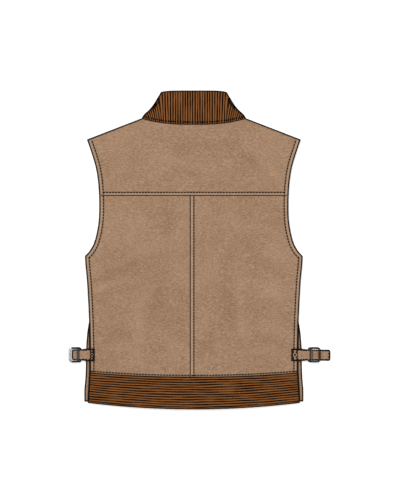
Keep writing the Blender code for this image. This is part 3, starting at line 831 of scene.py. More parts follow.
# The last colour of each canvas is its painted shade
CANVAS_LOOK = canvas_material(
    "brushed_canvas_look",
    linear(148, 118, 94),
    linear(132, 103, 78),
    linear(175, 145, 120),
    linear(113, 87, 66),
    linear(9, 6, 5),
)
STRAP_LOOK = canvas_material(
    "strap_canvas_look",
    linear(145, 115, 92),
    linear(134, 104, 81),
    linear(174, 144, 120),
    linear(118, 91, 69),
    linear(8, 6, 5),
)
# The last knit colour is the painted shade of its grooves and rims
KNIT_LOOK = knit_material("rib_knit_look", linear(180, 115, 63), linear(150, 94, 49), linear(6, 3, 2))
THREAD_LOOK = thread_material("thread_look", linear(5, 4, 4), linear(17, 14, 12))
# Its silver is the colour of the painted highlight, and its side shade the colour of the painted shade
METAL_LOOK = metal_material(
    "gunmetal_look",
    colour=(0.045, 0.046, 0.05, 1),
    paler=(0.09, 0.092, 0.096, 1),
    silver=(0.95, 0.95, 0.96, 1),
    side_shade=(0.012, 0.012, 0.013, 1),
)


# Rows of stitches

StitchRing = namedtuple("StitchRing", "share size lift")
STITCH_RINGS = (
    StitchRing(0.0, 0.4, -0.45),
    StitchRing(0.05, 0.72, -0.05),
    StitchRing(0.18, 0.95, 0.24),
    StitchRing(0.5, 1.0, 0.35),
    StitchRing(0.82, 0.95, 0.24),
    StitchRing(0.95, 0.72, -0.05),
    StitchRing(1.0, 0.4, -0.45),
)


def stitch_run(line, height_of, rng, lower_side, width):
    """Points and faces of raised stitches along a line in plan, each arcing out of the cloth and back in."""
    starts = arc_lengths(line)
    space = STITCH_PITCH - STITCH_LENGTH
    count = max(1, round((starts[-1] + space) / STITCH_PITCH))
    begins = np.arange(count) * (starts[-1] + space) / count
    lengths = STITCH_LENGTH * np.array([rng.uniform(*STITCH_LENGTH_SHARES) for _ in range(count)])
    ends = np.minimum(begins + lengths, starts[-1])
    first, last = places_on(line, starts, begins), places_on(line, starts, ends)
    direction = (last - first) / np.linalg.norm(last - first, axis=1)[:, None]
    normal = np.stack([-direction[:, 1], direction[:, 0]], axis=1)
    swings = [rng.uniform(-STITCH_SWING_IN_MM, STITCH_SWING_IN_MM) for _ in range(count)]
    swing = np.array(swings)[:, None] * MM
    rings = np.array(STITCH_RINGS)
    share = rings[:, 0][None, :, None]
    centres = lerp((first - normal * swing)[:, None, :], (last + normal * swing)[:, None, :], share)
    z = height_of(centres[:, :, 0], centres[:, :, 1])
    angles = 2 * math.pi * np.arange(STITCH_SIDES) / STITCH_SIDES
    across = np.cos(angles)[None, :] * width / 2 * rings[:, 1][:, None]
    height = np.sin(angles)[None, :] * STITCH_HEIGHT / 2 * rings[:, 1][:, None] + rings[:, 2][:, None] * MM
    if lower_side:
        height = -height
    points = np.zeros((count, len(rings), STITCH_SIDES, 3))
    points[..., :2] = centres[:, :, None, :] + normal[:, None, None, :] * across[None, :, :, None]
    points[..., 2] = z[:, :, None] + height[None]
    ids = np.arange(points[..., 0].size).reshape(points.shape[:3])
    around = np.roll(ids, -1, axis=2)
    walls = np.stack([ids[:, :-1], around[:, :-1], around[:, 1:], ids[:, 1:]], axis=3)
    faces = walls.reshape(-1, 4).tolist() + ids[:, 0].tolist() + ids[:, -1].tolist()
    return points.reshape(-1, 3), faces


def sew(name, runs, seed, width=STITCH_WIDTH):
    """One piece from several runs of stitches, each (line, height function, on the lower side)."""
    rng = random.Random(seed)
    parts = [stitch_run(line, height_of, rng, lower_side, width) for line, height_of, lower_side in runs]
    return new_piece(name, parts, THREAD_LOOK, angle=60)


# Back body

right_armhole = along_y(armhole_half, PIT_Y, SHOULDER_TIP_Y)
right_side = along_y(back_half, BAND_TOP_Y + BAND_TOP_RISE, PIT_Y)
right_shoulder = along_x(shoulder_y, SHOULDER_TIP_X, NECK_HALF, 60 * MM)
back_neck = along_x(back_neck_y, NECK_HALF, -NECK_HALF)
yoke_seam = along_x(lambda x: YOKE_SEAM_Y, -YOKE_SEAM_HALF, YOKE_SEAM_HALF, 40 * MM)
back_seam = along_y(lambda y: BACK_SEAM_X, band_top_y(BACK_SEAM_X), YOKE_SEAM_Y, 40 * MM)
band_seam = along_x(band_top_y, -BAND_TOP_HALF, BAND_TOP_HALF)

armhole_stitch = moved_in(right_armhole, HEM_ALLOWANCE, (3 * MM, 7 * MM))
side_stitch = moved_in(right_side, SIDE_ALLOWANCE, (1 * MM, 3 * MM))
yoke_stitch = moved_in(yoke_seam, YOKE_ALLOWANCE, (9 * MM, 9 * MM))
back_seam_stitch = moved_in(back_seam[::-1], BACK_SEAM_ALLOWANCE, (2 * MM, 2 * MM))
band_stitch = moved_in(band_seam, BAND_ALLOWANCE, (2 * MM, 2 * MM))


def sided(points, side):
    return points if side > 0 else mirrored(points)


def folded(points, allowance=0.0):
    """A turned or bound edge, with painted shade along it where it rolls down."""
    return Border(points, 0.95 * MM, 1.7 * MM, 0.98, 2.8 * MM, allowance)


# A sewn seam, with painted shade along its groove.
def seamed(points, allowance=0.0, shade_width=0.55 * MM):
    return Border(points, 1.0 * MM, 1.3 * MM, 0.92, shade_width, allowance)


def back_panel(side):
    borders = (
        folded(sided(right_armhole, side), HEM_ALLOWANCE),
        folded(sided(right_side, side), SIDE_ALLOWANCE),
        seamed(yoke_seam),
        seamed(back_seam, BACK_SEAM_ALLOWANCE if side > 0 else 0.0),
        seamed(band_seam, BAND_ALLOWANCE, 1.0 * MM),
    )
    stitches = [sided(armhole_stitch, side), sided(side_stitch, side), band_stitch]
    if side > 0:
        stitches.append(back_seam_stitch)
    return Panel(borders, stitches)


YOKE = Panel(
    borders=(
        folded(right_armhole, HEM_ALLOWANCE),
        folded(mirrored(right_armhole), HEM_ALLOWANCE),
        folded(right_shoulder),
        folded(mirrored(right_shoulder)),
        seamed(back_neck),
        seamed(yoke_seam, YOKE_ALLOWANCE),
    ),
    stitches=(yoke_stitch, armhole_stitch, mirrored(armhole_stitch)),
)
BACKS = {-1: back_panel(-1), 1: back_panel(1)}


def back_surface(panel):
    """The height of the back's outer face at any place on a panel."""

    def height(x, y):
        rise, _, _ = relief(panel, x, y)
        return back_inner_z(x, y) + CANVAS + rise + creased(BACK_CREASES, x, y)

    return height


def top_edge_y(neck_y):
    """The top of a panel: its shoulders, and between them the neck seam."""
    return lambda x: np.where(np.abs(x) > NECK_HALF, shoulder_y(x), neck_y(x) - SEAM_GAP / 2)


def yoke_shell():
    low = YOKE_SEAM_Y + SEAM_GAP / 2
    x, y = patch(
        edge_across(lambda x: low, -YOKE_SEAM_HALF, YOKE_SEAM_HALF),
        edge_across(top_edge_y(back_neck_y), -SHOULDER_TIP_X, SHOULDER_TIP_X),
        edge_up(lambda y: -armhole_half(y), low, SHOULDER_TIP_Y),
        edge_up(armhole_half, low, SHOULDER_TIP_Y),
        graded(2 * SHOULDER_TIP_X, 2.3 * MM),
        graded(SHOULDER_TIP_Y - low, 2.4 * MM),
    )
    return sewn_shell("back_yoke_cloth", x, y, YOKE)


def back_shell(side):
    seam_x = BACK_SEAM_X + side * SEAM_GAP / 2
    top_y = YOKE_SEAM_Y - SEAM_GAP / 2
    outer_low = band_top_y(BAND_TOP_HALF) + SEAM_GAP / 2
    x, y = patch(
        edge_across(lambda x: band_top_y(x) + SEAM_GAP / 2, seam_x, side * BAND_TOP_HALF),
        edge_across(lambda x: top_y, seam_x, side * YOKE_SEAM_HALF),
        edge_up(lambda y: seam_x, band_top_y(seam_x) + SEAM_GAP / 2, top_y),
        edge_up(lambda y: side * back_half(y), outer_low, top_y),
        graded(BAND_TOP_HALF, 2.6 * MM),
        graded(top_y - outer_low, 2.4 * MM),
    )
    return sewn_shell(f"back_{SIDE_NAMES[side]}_cloth", x, y, BACKS[side])


# Fronts, which the garment lies on

PLACKET_STITCH_LOW_Y = FRONT_HEM_Y + 12 * MM
PLACKET_STITCH_HIGH_Y = FRONT_NECK_Y - 3 * MM
STUD_SEAT_RADIUS = 7.8 * MM
STUD_SEAT_EASE = 2.2 * MM
STUD_SEAT_DEPTH = 1.0 * MM
FRONT_THREADS_Z = 0.95 * MM
FRONT_INNER_SHADE = 0.2
FRONT_SINK_INSIDE = 0.6
BESIDE_BACK_WIDTH = 0.8 * MM
BESIDE_BACK_FADE = 1.6 * MM
FRONT_RIM_SHADE_WIDTH = 2.2 * MM
FRONT_RIM_SHADE_FADE = 2.4 * MM

front_armhole = along_y(front_half, PIT_Y, SHOULDER_TIP_Y)
front_side = along_y(front_half, FRONT_HEM_Y + FRONT_HEM_RISE, PIT_Y)
front_hem = along_x(front_hem_y, -FRONT_HEM_HALF, FRONT_HEM_HALF)
front_neck = along_x(front_neck_y, NECK_HALF, -NECK_HALF)
front_armhole_stitch = moved_in(front_armhole, HEM_ALLOWANCE, (3 * MM, 7 * MM))
front_side_stitch = moved_in(front_side, SIDE_ALLOWANCE, (9 * MM, 3 * MM))
front_hem_stitch = moved_in(front_hem, FRONT_HEM_ALLOWANCE, (9 * MM, 9 * MM))
placket_edge = along_y(lambda y: PLACKET_HALF, FRONT_HEM_Y, FRONT_NECK_Y, 40 * MM)
placket_stitches = [
    along_y(lambda y: PLACKET_HALF - 3.5 * MM, PLACKET_STITCH_LOW_Y, PLACKET_STITCH_HIGH_Y),
    along_y(lambda y: -PLACKET_HALF + 1 * MM, PLACKET_STITCH_LOW_Y, PLACKET_STITCH_HIGH_Y),
]


def front_panel(side):
    borders = [
        folded(sided(front_armhole, side), HEM_ALLOWANCE),
        folded(sided(front_side, side), SIDE_ALLOWANCE),
        folded(sided(right_shoulder, side)),
        seamed(front_neck),
        folded(front_hem, FRONT_HEM_ALLOWANCE),
    ]
    hem_stitch = front_hem_stitch[front_hem_stitch[:, 0] * side > PLACKET_STEP_END * 0.7]
    stitches = [sided(front_armhole_stitch, side), sided(front_side_stitch, side), hem_stitch]
    if side < 0:
        borders.append(folded(placket_edge))
        stitches += placket_stitches
    return Panel(borders, stitches)


FRONTS = {-1: front_panel(-1), 1: front_panel(1)}


def stud_seats(x, y):
    """How far the cloth is pressed up over each stud's cap."""
    total = np.zeros(x.shape)
    for k in range(STUDS):
        d = np.hypot(x, y - lerp(STUD_LOW_Y, STUD_HIGH_Y, k / (STUDS - 1)))
        total = np.maximum(total, STUD_SEAT_DEPTH * fades(d, STUD_SEAT_RADIUS, STUD_SEAT_EASE))
    return total


def front_lower_surface(side):
    """The height of a front's outer face, which is underneath and bears on the surface it lies on."""

    def height(x, y):
        rise, _, _ = relief(FRONTS[side], x, y)
        lifted = np.maximum(ALLOWANCE_RISE - rise, 0) + np.maximum(creased(FRONT_CREASES, x, y), 0)
        return lifted + (stud_seats(x, y) if side < 0 else placket_z(x))

    return height


def front_shell(side):
    overlap_x = -side * PLACKET_HALF
    outer_low = front_hem_y(FRONT_HEM_HALF)
    x, y = patch(
        edge_across(front_hem_y, overlap_x, side * FRONT_HEM_HALF),
        edge_across(top_edge_y(front_neck_y), overlap_x, side * SHOULDER_TIP_X),
        edge_up(lambda y: overlap_x, front_hem_y(overlap_x), front_neck_y(overlap_x) - SEAM_GAP / 2),
        edge_up(lambda y: side * front_half(y), outer_low, SHOULDER_TIP_Y),
        graded(SHOULDER_TIP_X + PLACKET_HALF, 4.2 * MM),
        graded(SHOULDER_TIP_Y - outer_low, 3.6 * MM),
    )
    rise, dark, pale = relief(FRONTS[side], x, y)
    step = placket_z(x) if side > 0 else 0.0
    upper = CANVAS + step + FRONT_SINK_INSIDE * np.minimum(rise, 0)
    beside_back = np.abs(x) - outline_half(y)
    shown = front_half(y) - outline_half(y)
    # Painted shadow on the front beside the back's edge, painted shade along its shown rim, and painted shade
    # where the back covers it
    shadow_on_front = DEEP_SHADE * fades(beside_back, BESIDE_BACK_WIDTH, BESIDE_BACK_FADE)
    shadow_on_front = np.maximum(shadow_on_front, fades(shown, FRONT_RIM_SHADE_WIDTH, FRONT_RIM_SHADE_FADE))
    shadow_on_front = np.where((y < VENT_TOP_Y) & (y > hem_y(x)), shadow_on_front, FRONT_INNER_SHADE)
    part, _ = shell_mesh(x, y, upper, front_lower_surface(side)(x, y), 1)
    values = {"dark": (np.maximum(dark, shadow_on_front), dark), "pale": (np.zeros(x.shape), pale)}
    return new_piece(f"front_{SIDE_NAMES[side]}_cloth", [part], CANVAS_LOOK, values)


# Rib knit

POINTS_PER_RIB = 9
CREST_CURVE = 2.6
CREST_LIT_HALF = 0.24
GROOVE_FADE = 0.26
RIB_FOOT = 0.35 * MM
BAND_CREST = 1.1 * MM
BAND_ROUND = 1.8 * MM
BAND_DROP = 1.0 * MM
BAND_SWELL = 0.25 * MM
BAND_SWELL_LENGTH = 58 * MM
BAND_SWELL_START = 0.6
BAND_RIM_SHADE_WIDTH = 2.3 * MM
BAND_SEAM_SHADE_WIDTH = 1.0 * MM
BAND_SEAM_SHADE = 0.85
BAND_SHADE_FADE = 1.2 * MM
RIB_WANDERS = ((0.06, 37 * MM, 10.5), (0.04, 13 * MM, 9))
CLOSE_RIBS_FROM = 70 * MM
CLOSE_RIB_PITCH = 4.6 * MM
STRAIGHT_RIBS_HALF = 40 * MM
CORNER_RIB_X = 73 * MM
BUNCHED_RIBS_Y = 704 * MM
BUNCHED_REACH = 15 * MM
RIB_LEAN = 1.5
RIB_SPACING = 0.55
COLLAR_CREST = 1.15 * MM
COLLAR_SIDE_ROUND = 3.2 * MM
COLLAR_TOP_ROUND = 2.0 * MM
COLLAR_TOP_DROP = 1.1 * MM
COLLAR_THREADS_RISE = 0.75 * MM
FOLD_Z = RIB_WALL + 0.3 * MM
FRONT_COLLAR_ROWS = 22
COLLAR_PRESSED_WIDTH = 1.6 * MM
COLLAR_SEAM_WIDTH = 0.5 * MM
COLLAR_SEAM_FADE = 1.5 * MM
PRESSED_BY_STITCHES = 0.6
PRESSED_BY_SEAM = 0.7
BESIDE_FOLD = 5 * MM
BUNCHED_FADE = 7 * MM
BUNCHED_PAINTED_SHADE = 1.2
FOLD_SHADE_WIDTH = 3.0 * MM
TOP_SHADE_WIDTH = 2.2 * MM
COLLAR_SHADE_FADE = 1.4 * MM
COLLAR_SEAM_SHADE = 0.92
COLLAR_STITCH_SHADE = 0.35
BUNCHED_SHADE = 0.8


def rib_profile(place):
    """Height from 0 in a groove to 1 on a crest, and its painted shade, darkest in the groove, at a place
    counted in ribs.
    """
    out = np.abs(2 * (place - np.floor(place)) - 1)
    return 1 - out**CREST_CURVE, smooth((out - CREST_LIT_HALF) / GROOVE_FADE)


def band_shell():
    """The hem band, whose ribs run with the hem."""
    rib_places = np.linspace(0, BAND_RIBS, BAND_RIBS * POINTS_PER_RIB + 1)[:, None]
    v = rib_places / BAND_RIBS
    half = lerp(BAND_HEM_HALF, BAND_TOP_HALF, v)
    x = lerp(-half, half, graded(2 * BAND_HEM_HALF, 3.4 * MM)[None, :])
    y = lerp(hem_y(x), band_top_y(x) - SEAM_GAP / 2, v)
    wander = sum(ribs * np.sin(x / length + turns * v) for ribs, length, turns in RIB_WANDERS)
    ribs_in = np.minimum(v, 1 - v) * BAND_RIBS
    crest, groove = rib_profile(rib_places + wander * np.minimum(ribs_in, 1))
    inner = back_inner_z(x, y)
    rim = np.minimum(half - np.abs(x), y - hem_y(x))
    folds = creased(BACK_CREASES, x, y)
    top = inner + RIB_WALL + BAND_CREST * crest - RIB_FOOT - BAND_DROP * round_drop(rim, BAND_ROUND)
    top = top + folds + BAND_SWELL * np.sin(x / BAND_SWELL_LENGTH + BAND_SWELL_START) * np.sin(np.pi * v)
    # Painted shade along the rims and at the seam, and painted shade in the rib grooves
    at_seam = BAND_SEAM_SHADE * fades(band_top_y(x) - y, BAND_SEAM_SHADE_WIDTH, BAND_SHADE_FADE)
    shade = np.maximum(DEEP_SHADE * fades(rim, BAND_RIM_SHADE_WIDTH, BAND_SHADE_FADE), at_seam)
    part, grid = shell_mesh(x, y, top, inner + RIDGE_INSIDE * np.maximum(folds, 0), SHELL_GAP)
    uvs = np.stack([rib_places * np.ones_like(x), x], axis=2)
    values = {"dark": (groove, groove[grid]), "shade": (shade, shade[grid])}
    return new_piece("back_band_knit", [part], KNIT_LOOK, values, (uvs, uvs[grid]))


def collar_end_of_rib(s):
    """Where a rib that starts at s on the neck seam ends, on the top edge or on the side fold."""
    out = np.abs(s)
    lean = np.clip((out - STRAIGHT_RIBS_HALF) / (CORNER_RIB_X - STRAIGHT_RIBS_HALF), 0, 1)
    top_x = out + (COLLAR_TOP_HALF - CORNER_RIB_X) * lean**RIB_LEAN
    down = np.clip((out - CORNER_RIB_X) / (COLLAR_END_HALF - CORNER_RIB_X), 0, 1)
    end_base = back_neck_y(COLLAR_END_HALF) + SEAM_GAP / 2 + 1.0 * MM
    side_y = lerp(COLLAR_TOP_Y - COLLAR_CORNER_DROP, end_base, down**RIB_SPACING)
    x = np.where(out > CORNER_RIB_X, collar_half(side_y), top_x)
    y = np.where(out > CORNER_RIB_X, side_y, collar_top_y(np.minimum(top_x, COLLAR_TOP_HALF)))
    return np.sign(s) * x, y


collar_side_line = along_y(collar_half, NECK_POINT_Y, COLLAR_TOP_Y - COLLAR_CORNER_DROP, 3 * MM)
collar_seam = along_x(lambda x: back_neck_y(x) + SEAM_GAP / 2, -COLLAR_END_HALF, COLLAR_END_HALF, 4 * MM)
collar_stitch = moved_in(collar_seam, COLLAR_ALLOWANCE, (5 * MM, 5 * MM))


def collar_side_distance(x, y):
    return distance_to(collar_side_line, np.abs(x), y)[0]


def collar_back_form(x, y):
    """Plain height of the collar's back layer, rounded down to its side folds and top edge."""
    inner = np.maximum(back_inner_z(x, y), RIB_WALL + COLLAR_FOLD_GAP)
    flat = inner + RIB_WALL - RIB_FOOT
    form = lerp(flat, FOLD_Z, round_drop(collar_side_distance(x, y), COLLAR_SIDE_ROUND))
    drop = COLLAR_TOP_DROP * round_drop(np.maximum(collar_top_y(x) - y, 0), COLLAR_TOP_ROUND)
    form = form - np.where(np.abs(x) < COLLAR_TOP_HALF, drop, 0)
    return form, np.minimum(inner, form - 0.3 * MM)


def collar_surface(x, y):
    return collar_back_form(x, y)[0] + COLLAR_THREADS_RISE


def collar_back():
    """The ribbed back layer of the collar as (part, its texture places, darkness and shade)."""
    even_ribs = CLOSE_RIBS_FROM / RIB_PITCH
    ribs = even_ribs + (COLLAR_END_HALF - CLOSE_RIBS_FROM) / CLOSE_RIB_PITCH
    places = np.linspace(-ribs, ribs, int(2 * ribs * POINTS_PER_RIB))
    closer = np.maximum(np.abs(places) - even_ribs, 0) * (RIB_PITCH - CLOSE_RIB_PITCH)
    s = places * RIB_PITCH - np.sign(places) * closer
    seam_rows, top_rows = [0, 0.012, 0.03, 0.055], [0.95, 0.967, 0.98, 0.99, 1]
    v = np.concatenate([seam_rows, np.linspace(0.09, 0.93, 30), top_rows])[:, None]
    end_x, end_y = collar_end_of_rib(s)
    x = lerp(s, end_x, v**RIB_LEAN)
    y = lerp(back_neck_y(s) + SEAM_GAP / 2, end_y, v)
    form, inner = collar_back_form(x, y)
    spread = np.clip(np.abs(np.gradient(x, axis=1)) / np.abs(np.gradient(s)), 0, 1)
    crest, groove = rib_profile(places + 0.5)
    pressed = bell(distance_to(collar_stitch, x, y)[0], COLLAR_PRESSED_WIDTH)
    at_seam = fades(distance_to(collar_seam, x, y)[0], COLLAR_SEAM_WIDTH, COLLAR_SEAM_FADE)
    crests = COLLAR_CREST * crest * spread * (1 - PRESSED_BY_STITCHES * pressed)
    top = form + crests * (1 - PRESSED_BY_SEAM * at_seam)
    d_side = collar_side_distance(x, y)
    rim = np.minimum(d_side, np.where(np.abs(x) < COLLAR_TOP_HALF, collar_top_y(x) - y, 1.0))
    rim_width = np.where(d_side < BESIDE_FOLD, FOLD_SHADE_WIDTH, TOP_SHADE_WIDTH)
    rim_shade = DEEP_SHADE * fades(rim, rim_width, COLLAR_SHADE_FADE)
    # Painted shade where the ribs bunch beside the side folds, in the rib grooves, and along the rims, seam
    # and stitches
    beside_fold = fades(d_side, BESIDE_FOLD, BUNCHED_FADE)
    bunched_shade = BUNCHED_PAINTED_SHADE * bell(y - BUNCHED_RIBS_Y, BUNCHED_REACH) * beside_fold
    dark = np.maximum(groove ** (0.5 + 0.5 * spread), bunched_shade)
    shades = [rim_shade, COLLAR_SEAM_SHADE * at_seam, COLLAR_STITCH_SHADE * pressed, BUNCHED_SHADE * bunched_shade]
    shade = np.maximum.reduce(shades)
    uvs = np.stack([(places + 0.5) * np.ones_like(x), y], axis=2)
    part, grid = shell_mesh(x, y, top, inner, 4)
    return part, (uvs, uvs[grid]), (dark, dark[grid]), (shade, shade[grid])


def collar_front(side):
    """One front layer, which the collar is folded over to, as (part, texture places, darkness and shade)."""
    across = lerp(FRONT_EDGE_GAP, COLLAR_END_HALF, graded(COLLAR_END_HALF, 1.0 * MM, low_edge=False))
    x = side * across[None, :] * np.ones((FRONT_COLLAR_ROWS, 1))
    v = np.linspace(0, 1, FRONT_COLLAR_ROWS)[:, None]
    y = lerp(front_neck_y(x) + SEAM_GAP / 2, front_collar_top_y(x), v)
    places = np.abs(x) / RIB_PITCH + 0.5
    crest, groove = rib_profile(places)
    fold = round_drop(collar_side_distance(x, y), 3.0 * MM)
    lower = (FOLD_Z - 0.5 * MM) * fold + 0.55 * MM * (1 - crest)
    upper = np.full(x.shape, RIB_WALL)
    part, _ = shell_mesh(x, y, upper, np.minimum(lower, RIB_WALL - 0.2 * MM), 1)
    plain = np.zeros(x.shape)
    # Painted shade in the rib grooves
    return part, (np.stack([places, y], axis=2),) * 2, (groove, groove), (plain, plain)


def collar_shell():
    """The stand collar: its ribbed back layer, and the two front layers that it is folded over to."""
    parts, *looks = zip(collar_back(), collar_front(-1), collar_front(1))
    uvs, dark, shade = [[array for pair in arrays for array in pair] for arrays in looks]
    values = {"dark": dark, "shade": shade}
    return new_piece("collar_knit", parts, KNIT_LOOK, values, uvs)


# Straps

STRAP_STITCH_ROW = 0.78
STRAP_ROUND = 0.7 * MM
STRAP_END_ROUND = 1.4 * MM
STRAP_GROOVE = 0.22 * MM
STRAP_PLACES = (0.3, 0.6, 0.66, 0.71, 0.76, 0.81, 0.86, 0.92, 0.97, 1.0)
TACK_INSET = 3.0 * MM
CROSS_ACROSS = 0.62
STRAP_ROUND_SHARE = 0.1
STRAP_GROOVE_SHARE = 0.06
STRAP_INNER_SHADE = 0.3
STRAP_END_SHADE_WIDTH = 2.6 * MM
STRAP_END_SHADE_FADE = 1.4 * MM
STRAP_PALE_BAND = 0.5
STRAP_PALE_BAND_PLACE = 0.58
STRAP_PALE_BAND_WIDTH = 0.1
STRAP_EDGE_SHADE_FROM = 0.73
STRAP_EDGE_SHADE_FADE = 0.08
STRAP_EDGE_SHADE_WAVES = ((0.035, 1.9 * MM, 0), (0.025, 0.83 * MM, 4))
Station = namedtuple("Station", "out low half_width")
Strap = namedtuple("Strap", "name side tack far tail drift")
STRAPS = (
    Strap("strap_left", -1, 229.4 * MM, 289.4 * MM, 282.6 * MM, 0.0),
    Strap("strap_right", 1, 225.5 * MM, 293.2 * MM, 316.2 * MM, -1.0 * MM),
)


def strap_stations(tack, far_x, tail):
    """Stations from the tack on the back panel, over the near bar and under the others, in millimetres."""
    tack, far_x, tail = tack / MM, far_x / MM, tail / MM
    near = far_x - (SLIDER_LENGTH - WIRE_RADIUS) / MM
    middle = far_x - SLIDER_MIDDLE_BAR / MM
    far = far_x - WIRE_RADIUS / MM
    over = (2 * WIRE_RADIUS + SEAM_GAP) / MM
    under = (SLIDER_RAISED_Z - WIRE_RADIUS - SEAM_GAP - STRAP_THICKNESS) / MM
    edge = BAND_TOP_HALF / MM
    on_back = (EDGE_Z + CANVAS + SEAM_GAP) / MM
    found = [
        Station(tack, on_back + 0.75, 14.6),
        Station(lerp(tack, edge, 0.5), on_back + 0.45, 14.8),
        Station(edge, on_back + 0.05, 14.8),
        Station(edge + 3, on_back - 0.5, 14.6),
        Station(edge + 7, on_back - 1.0, 14.3),
        Station(lerp(edge + 7, near, 0.5), on_back - 0.8, 13.8),
        Station(near - 2.2, over - 0.1, 12.8),
        Station(near, over, 12.4),
        Station(lerp(near, middle, 0.2), over - 0.45, 12.4),
        Station(lerp(near, middle, 0.4), lerp(under, over, 0.55), 12.3),
        Station(lerp(near, middle, 0.6), lerp(under, over, 0.22), 12.3),
        Station(lerp(near, middle, 0.8), under + 0.2, 12.3),
        Station(middle, under, 12.2),
        Station(middle + 2.5, under + 0.1, 12.2),
        Station(lerp(middle, far, 0.5), under + 0.9, 12.1),
    ]
    if tail > far_x:
        found += [
            Station(far - 2.5, under + 0.1, 12.1),
            Station(far, under, 12.1),
            Station(far + 4, 0.25, 12.9),
            Station(tail - 4.0, 0.1, 13.1),
        ]
    else:
        found.append(Station(tail - 2.6, under + 0.6, 12.1))
    _, low, half_width = found[-1]
    found += [Station(tail - 1.0, low, half_width - 1.2), Station(tail, low, half_width - 3.5)]
    return np.array(found) * MM


class StrapForm:
    """The shape of one strap, with its heights and half widths along it."""

    def __init__(self, strap):
        self.strap = strap
        self.stations = strap_stations(strap.tack, strap.far, strap.tail)
        self.outs = self.stations[:, 0]

    def low(self, out):
        return np.interp(out, self.outs, self.stations[:, 1])

    def half_width(self, out):
        return np.interp(out, self.outs, self.stations[:, 2])

    def centre_y(self, out):
        share = (out - self.outs[0]) / (self.outs[-1] - self.outs[0])
        return STRAP_Y + self.strap.drift * share

    def grid(self):
        outs = np.unique(np.concatenate([self.outs, np.arange(self.outs[0], self.outs[-1], 1.1 * MM)]))
        one_side = np.array(STRAP_PLACES)
        across = np.concatenate([-one_side[::-1], [0], one_side])[None, :]
        out = outs[:, None] * np.ones(across.shape)
        y = self.centre_y(out) + across * self.half_width(out)
        return out, self.strap.side * out, y, across * np.ones_like(out)

    def top(self, out, across):
        """Upper face, rounded at its sides, with a groove under each row of stitches."""
        rounding = STRAP_ROUND * round_drop(1 - np.abs(across), STRAP_ROUND_SHARE)
        groove = STRAP_GROOVE * bell(np.abs(across) - STRAP_STITCH_ROW, STRAP_GROOVE_SHARE)
        return self.low(out) + STRAP_THICKNESS - rounding - groove

    def height_at(self, x, y):
        out = np.abs(x)
        across = (y - self.centre_y(out)) / self.half_width(out)
        return self.top(out, across)


def strap_shell(form):
    out, x, y, across = form.grid()
    from_end = np.minimum(out - out[0, 0], out[-1, 0] - out)
    top = form.top(out, across) - STRAP_ROUND * round_drop(from_end, STRAP_END_ROUND)
    part, _ = shell_mesh(x, y, top, form.low(out), 1)
    # Painted shade along the strap's sides, with an uneven inner edge, at its ends, and on its inner face
    waves = sum(share * np.sin(x / length + turns * across) for share, length, turns in STRAP_EDGE_SHADE_WAVES)
    at_side = smooth((np.abs(across) - STRAP_EDGE_SHADE_FROM - waves) / STRAP_EDGE_SHADE_FADE)
    at_end = fades(from_end, STRAP_END_SHADE_WIDTH, STRAP_END_SHADE_FADE)
    dark = DEEP_SHADE * np.maximum(at_side, at_end)
    # A paler band along each side of the strap, inside its stitches
    pale = STRAP_PALE_BAND * bell(np.abs(across) - STRAP_PALE_BAND_PLACE, STRAP_PALE_BAND_WIDTH)
    values = {"dark": (dark, np.full(x.shape, STRAP_INNER_SHADE)), "pale": (pale, np.zeros(x.shape))}
    return new_piece(f"{form.strap.name}_cloth", [part], STRAP_LOOK, values)


def strap_stitching(form):
    """Rows of stitches along both sides of a strap, round its tail, and boxed and crossed at its tack."""
    tack, tail, far = form.outs[0], form.outs[-1], form.strap.far
    row, cross = STRAP_STITCH_ROW, CROSS_ACROSS
    start = tack + TACK_INSET
    box_end = BAND_TOP_HALF - 1.5 * MM

    def run(first_out, first_across, last_out, last_across):
        outs, across = np.array([first_out, last_out]), np.array([first_across, last_across])
        ys = form.centre_y(outs) + across * form.half_width(outs)
        corners = np.stack([form.strap.side * outs, ys], axis=1)
        starts = arc_lengths(corners)
        kept = np.linspace(0, starts[-1], max(2, int(starts[-1] / (2 * MM))))
        return places_on(corners, starts, kept)

    near_bar = far - SLIDER_LENGTH - 1.0 * MM
    lines = [
        run(box_end, row, near_bar, row),
        run(box_end, -row, near_bar, -row),
        run(start, -row, start, row),
        run(box_end, -row, box_end, row),
        run(start, row, box_end, row),
        run(start, -row, box_end, -row),
        run(start + 1 * MM, -cross, box_end - 1 * MM, cross),
        run(start + 1 * MM, cross, box_end - 1 * MM, -cross),
    ]
    if tail > far:
        past, end = far + 3 * MM, tail - 3.4 * MM
        lines += [
            run(past, row, end, row),
            run(past, -row, end, -row),
            run(end, -row + 0.25, end, row - 0.25),
        ]
    return [(line, form.height_at, False) for line in lines]


# Sliders

SLIDER_WIDTH = 35.6 * MM
SLIDER_CHAMFER = 3.6 * MM
WIRE_SIDES = 24
BEND = 2 * MM
BEND_STEPS = (0.0, 0.25, 0.5, 0.75, 1.0)
FAR_BAR_REACH = 5 * MM
SHINE_FADE = 3 * MM
# Painted shade along the wire's sides: how it fades, and how far up it reaches, less far where the painted
# highlight is strongest
SIDE_SHADE_FADE = 0.05
SIDE_SHADE_UP_TO = 0.95
SIDE_SHADE_UP_TO_WHERE_HIGHLIT = 0.86

# How much painted highlight the rails and the bars of each slider carry
Shine = namedtuple("Shine", "rails middle_bar far_bar")
SHINES = {-1: Shine(0.02, 0.16, 1.0), 1: Shine(0.09, 0.16, 0.02)}


def rounded(points):
    """A closed path with its bends eased, staying inside the bends of the solid's."""
    path = []
    for before, corner, after in zip(np.roll(points, 1, axis=0), points, np.roll(points, -1, axis=0)):
        start = lerp(corner, before, min(0.48, BEND / np.linalg.norm(before - corner)))
        end = lerp(corner, after, min(0.48, BEND / np.linalg.norm(after - corner)))
        path += [lerp(lerp(start, corner, t), lerp(corner, end, t), t) for t in BEND_STEPS]
    return np.array(path)


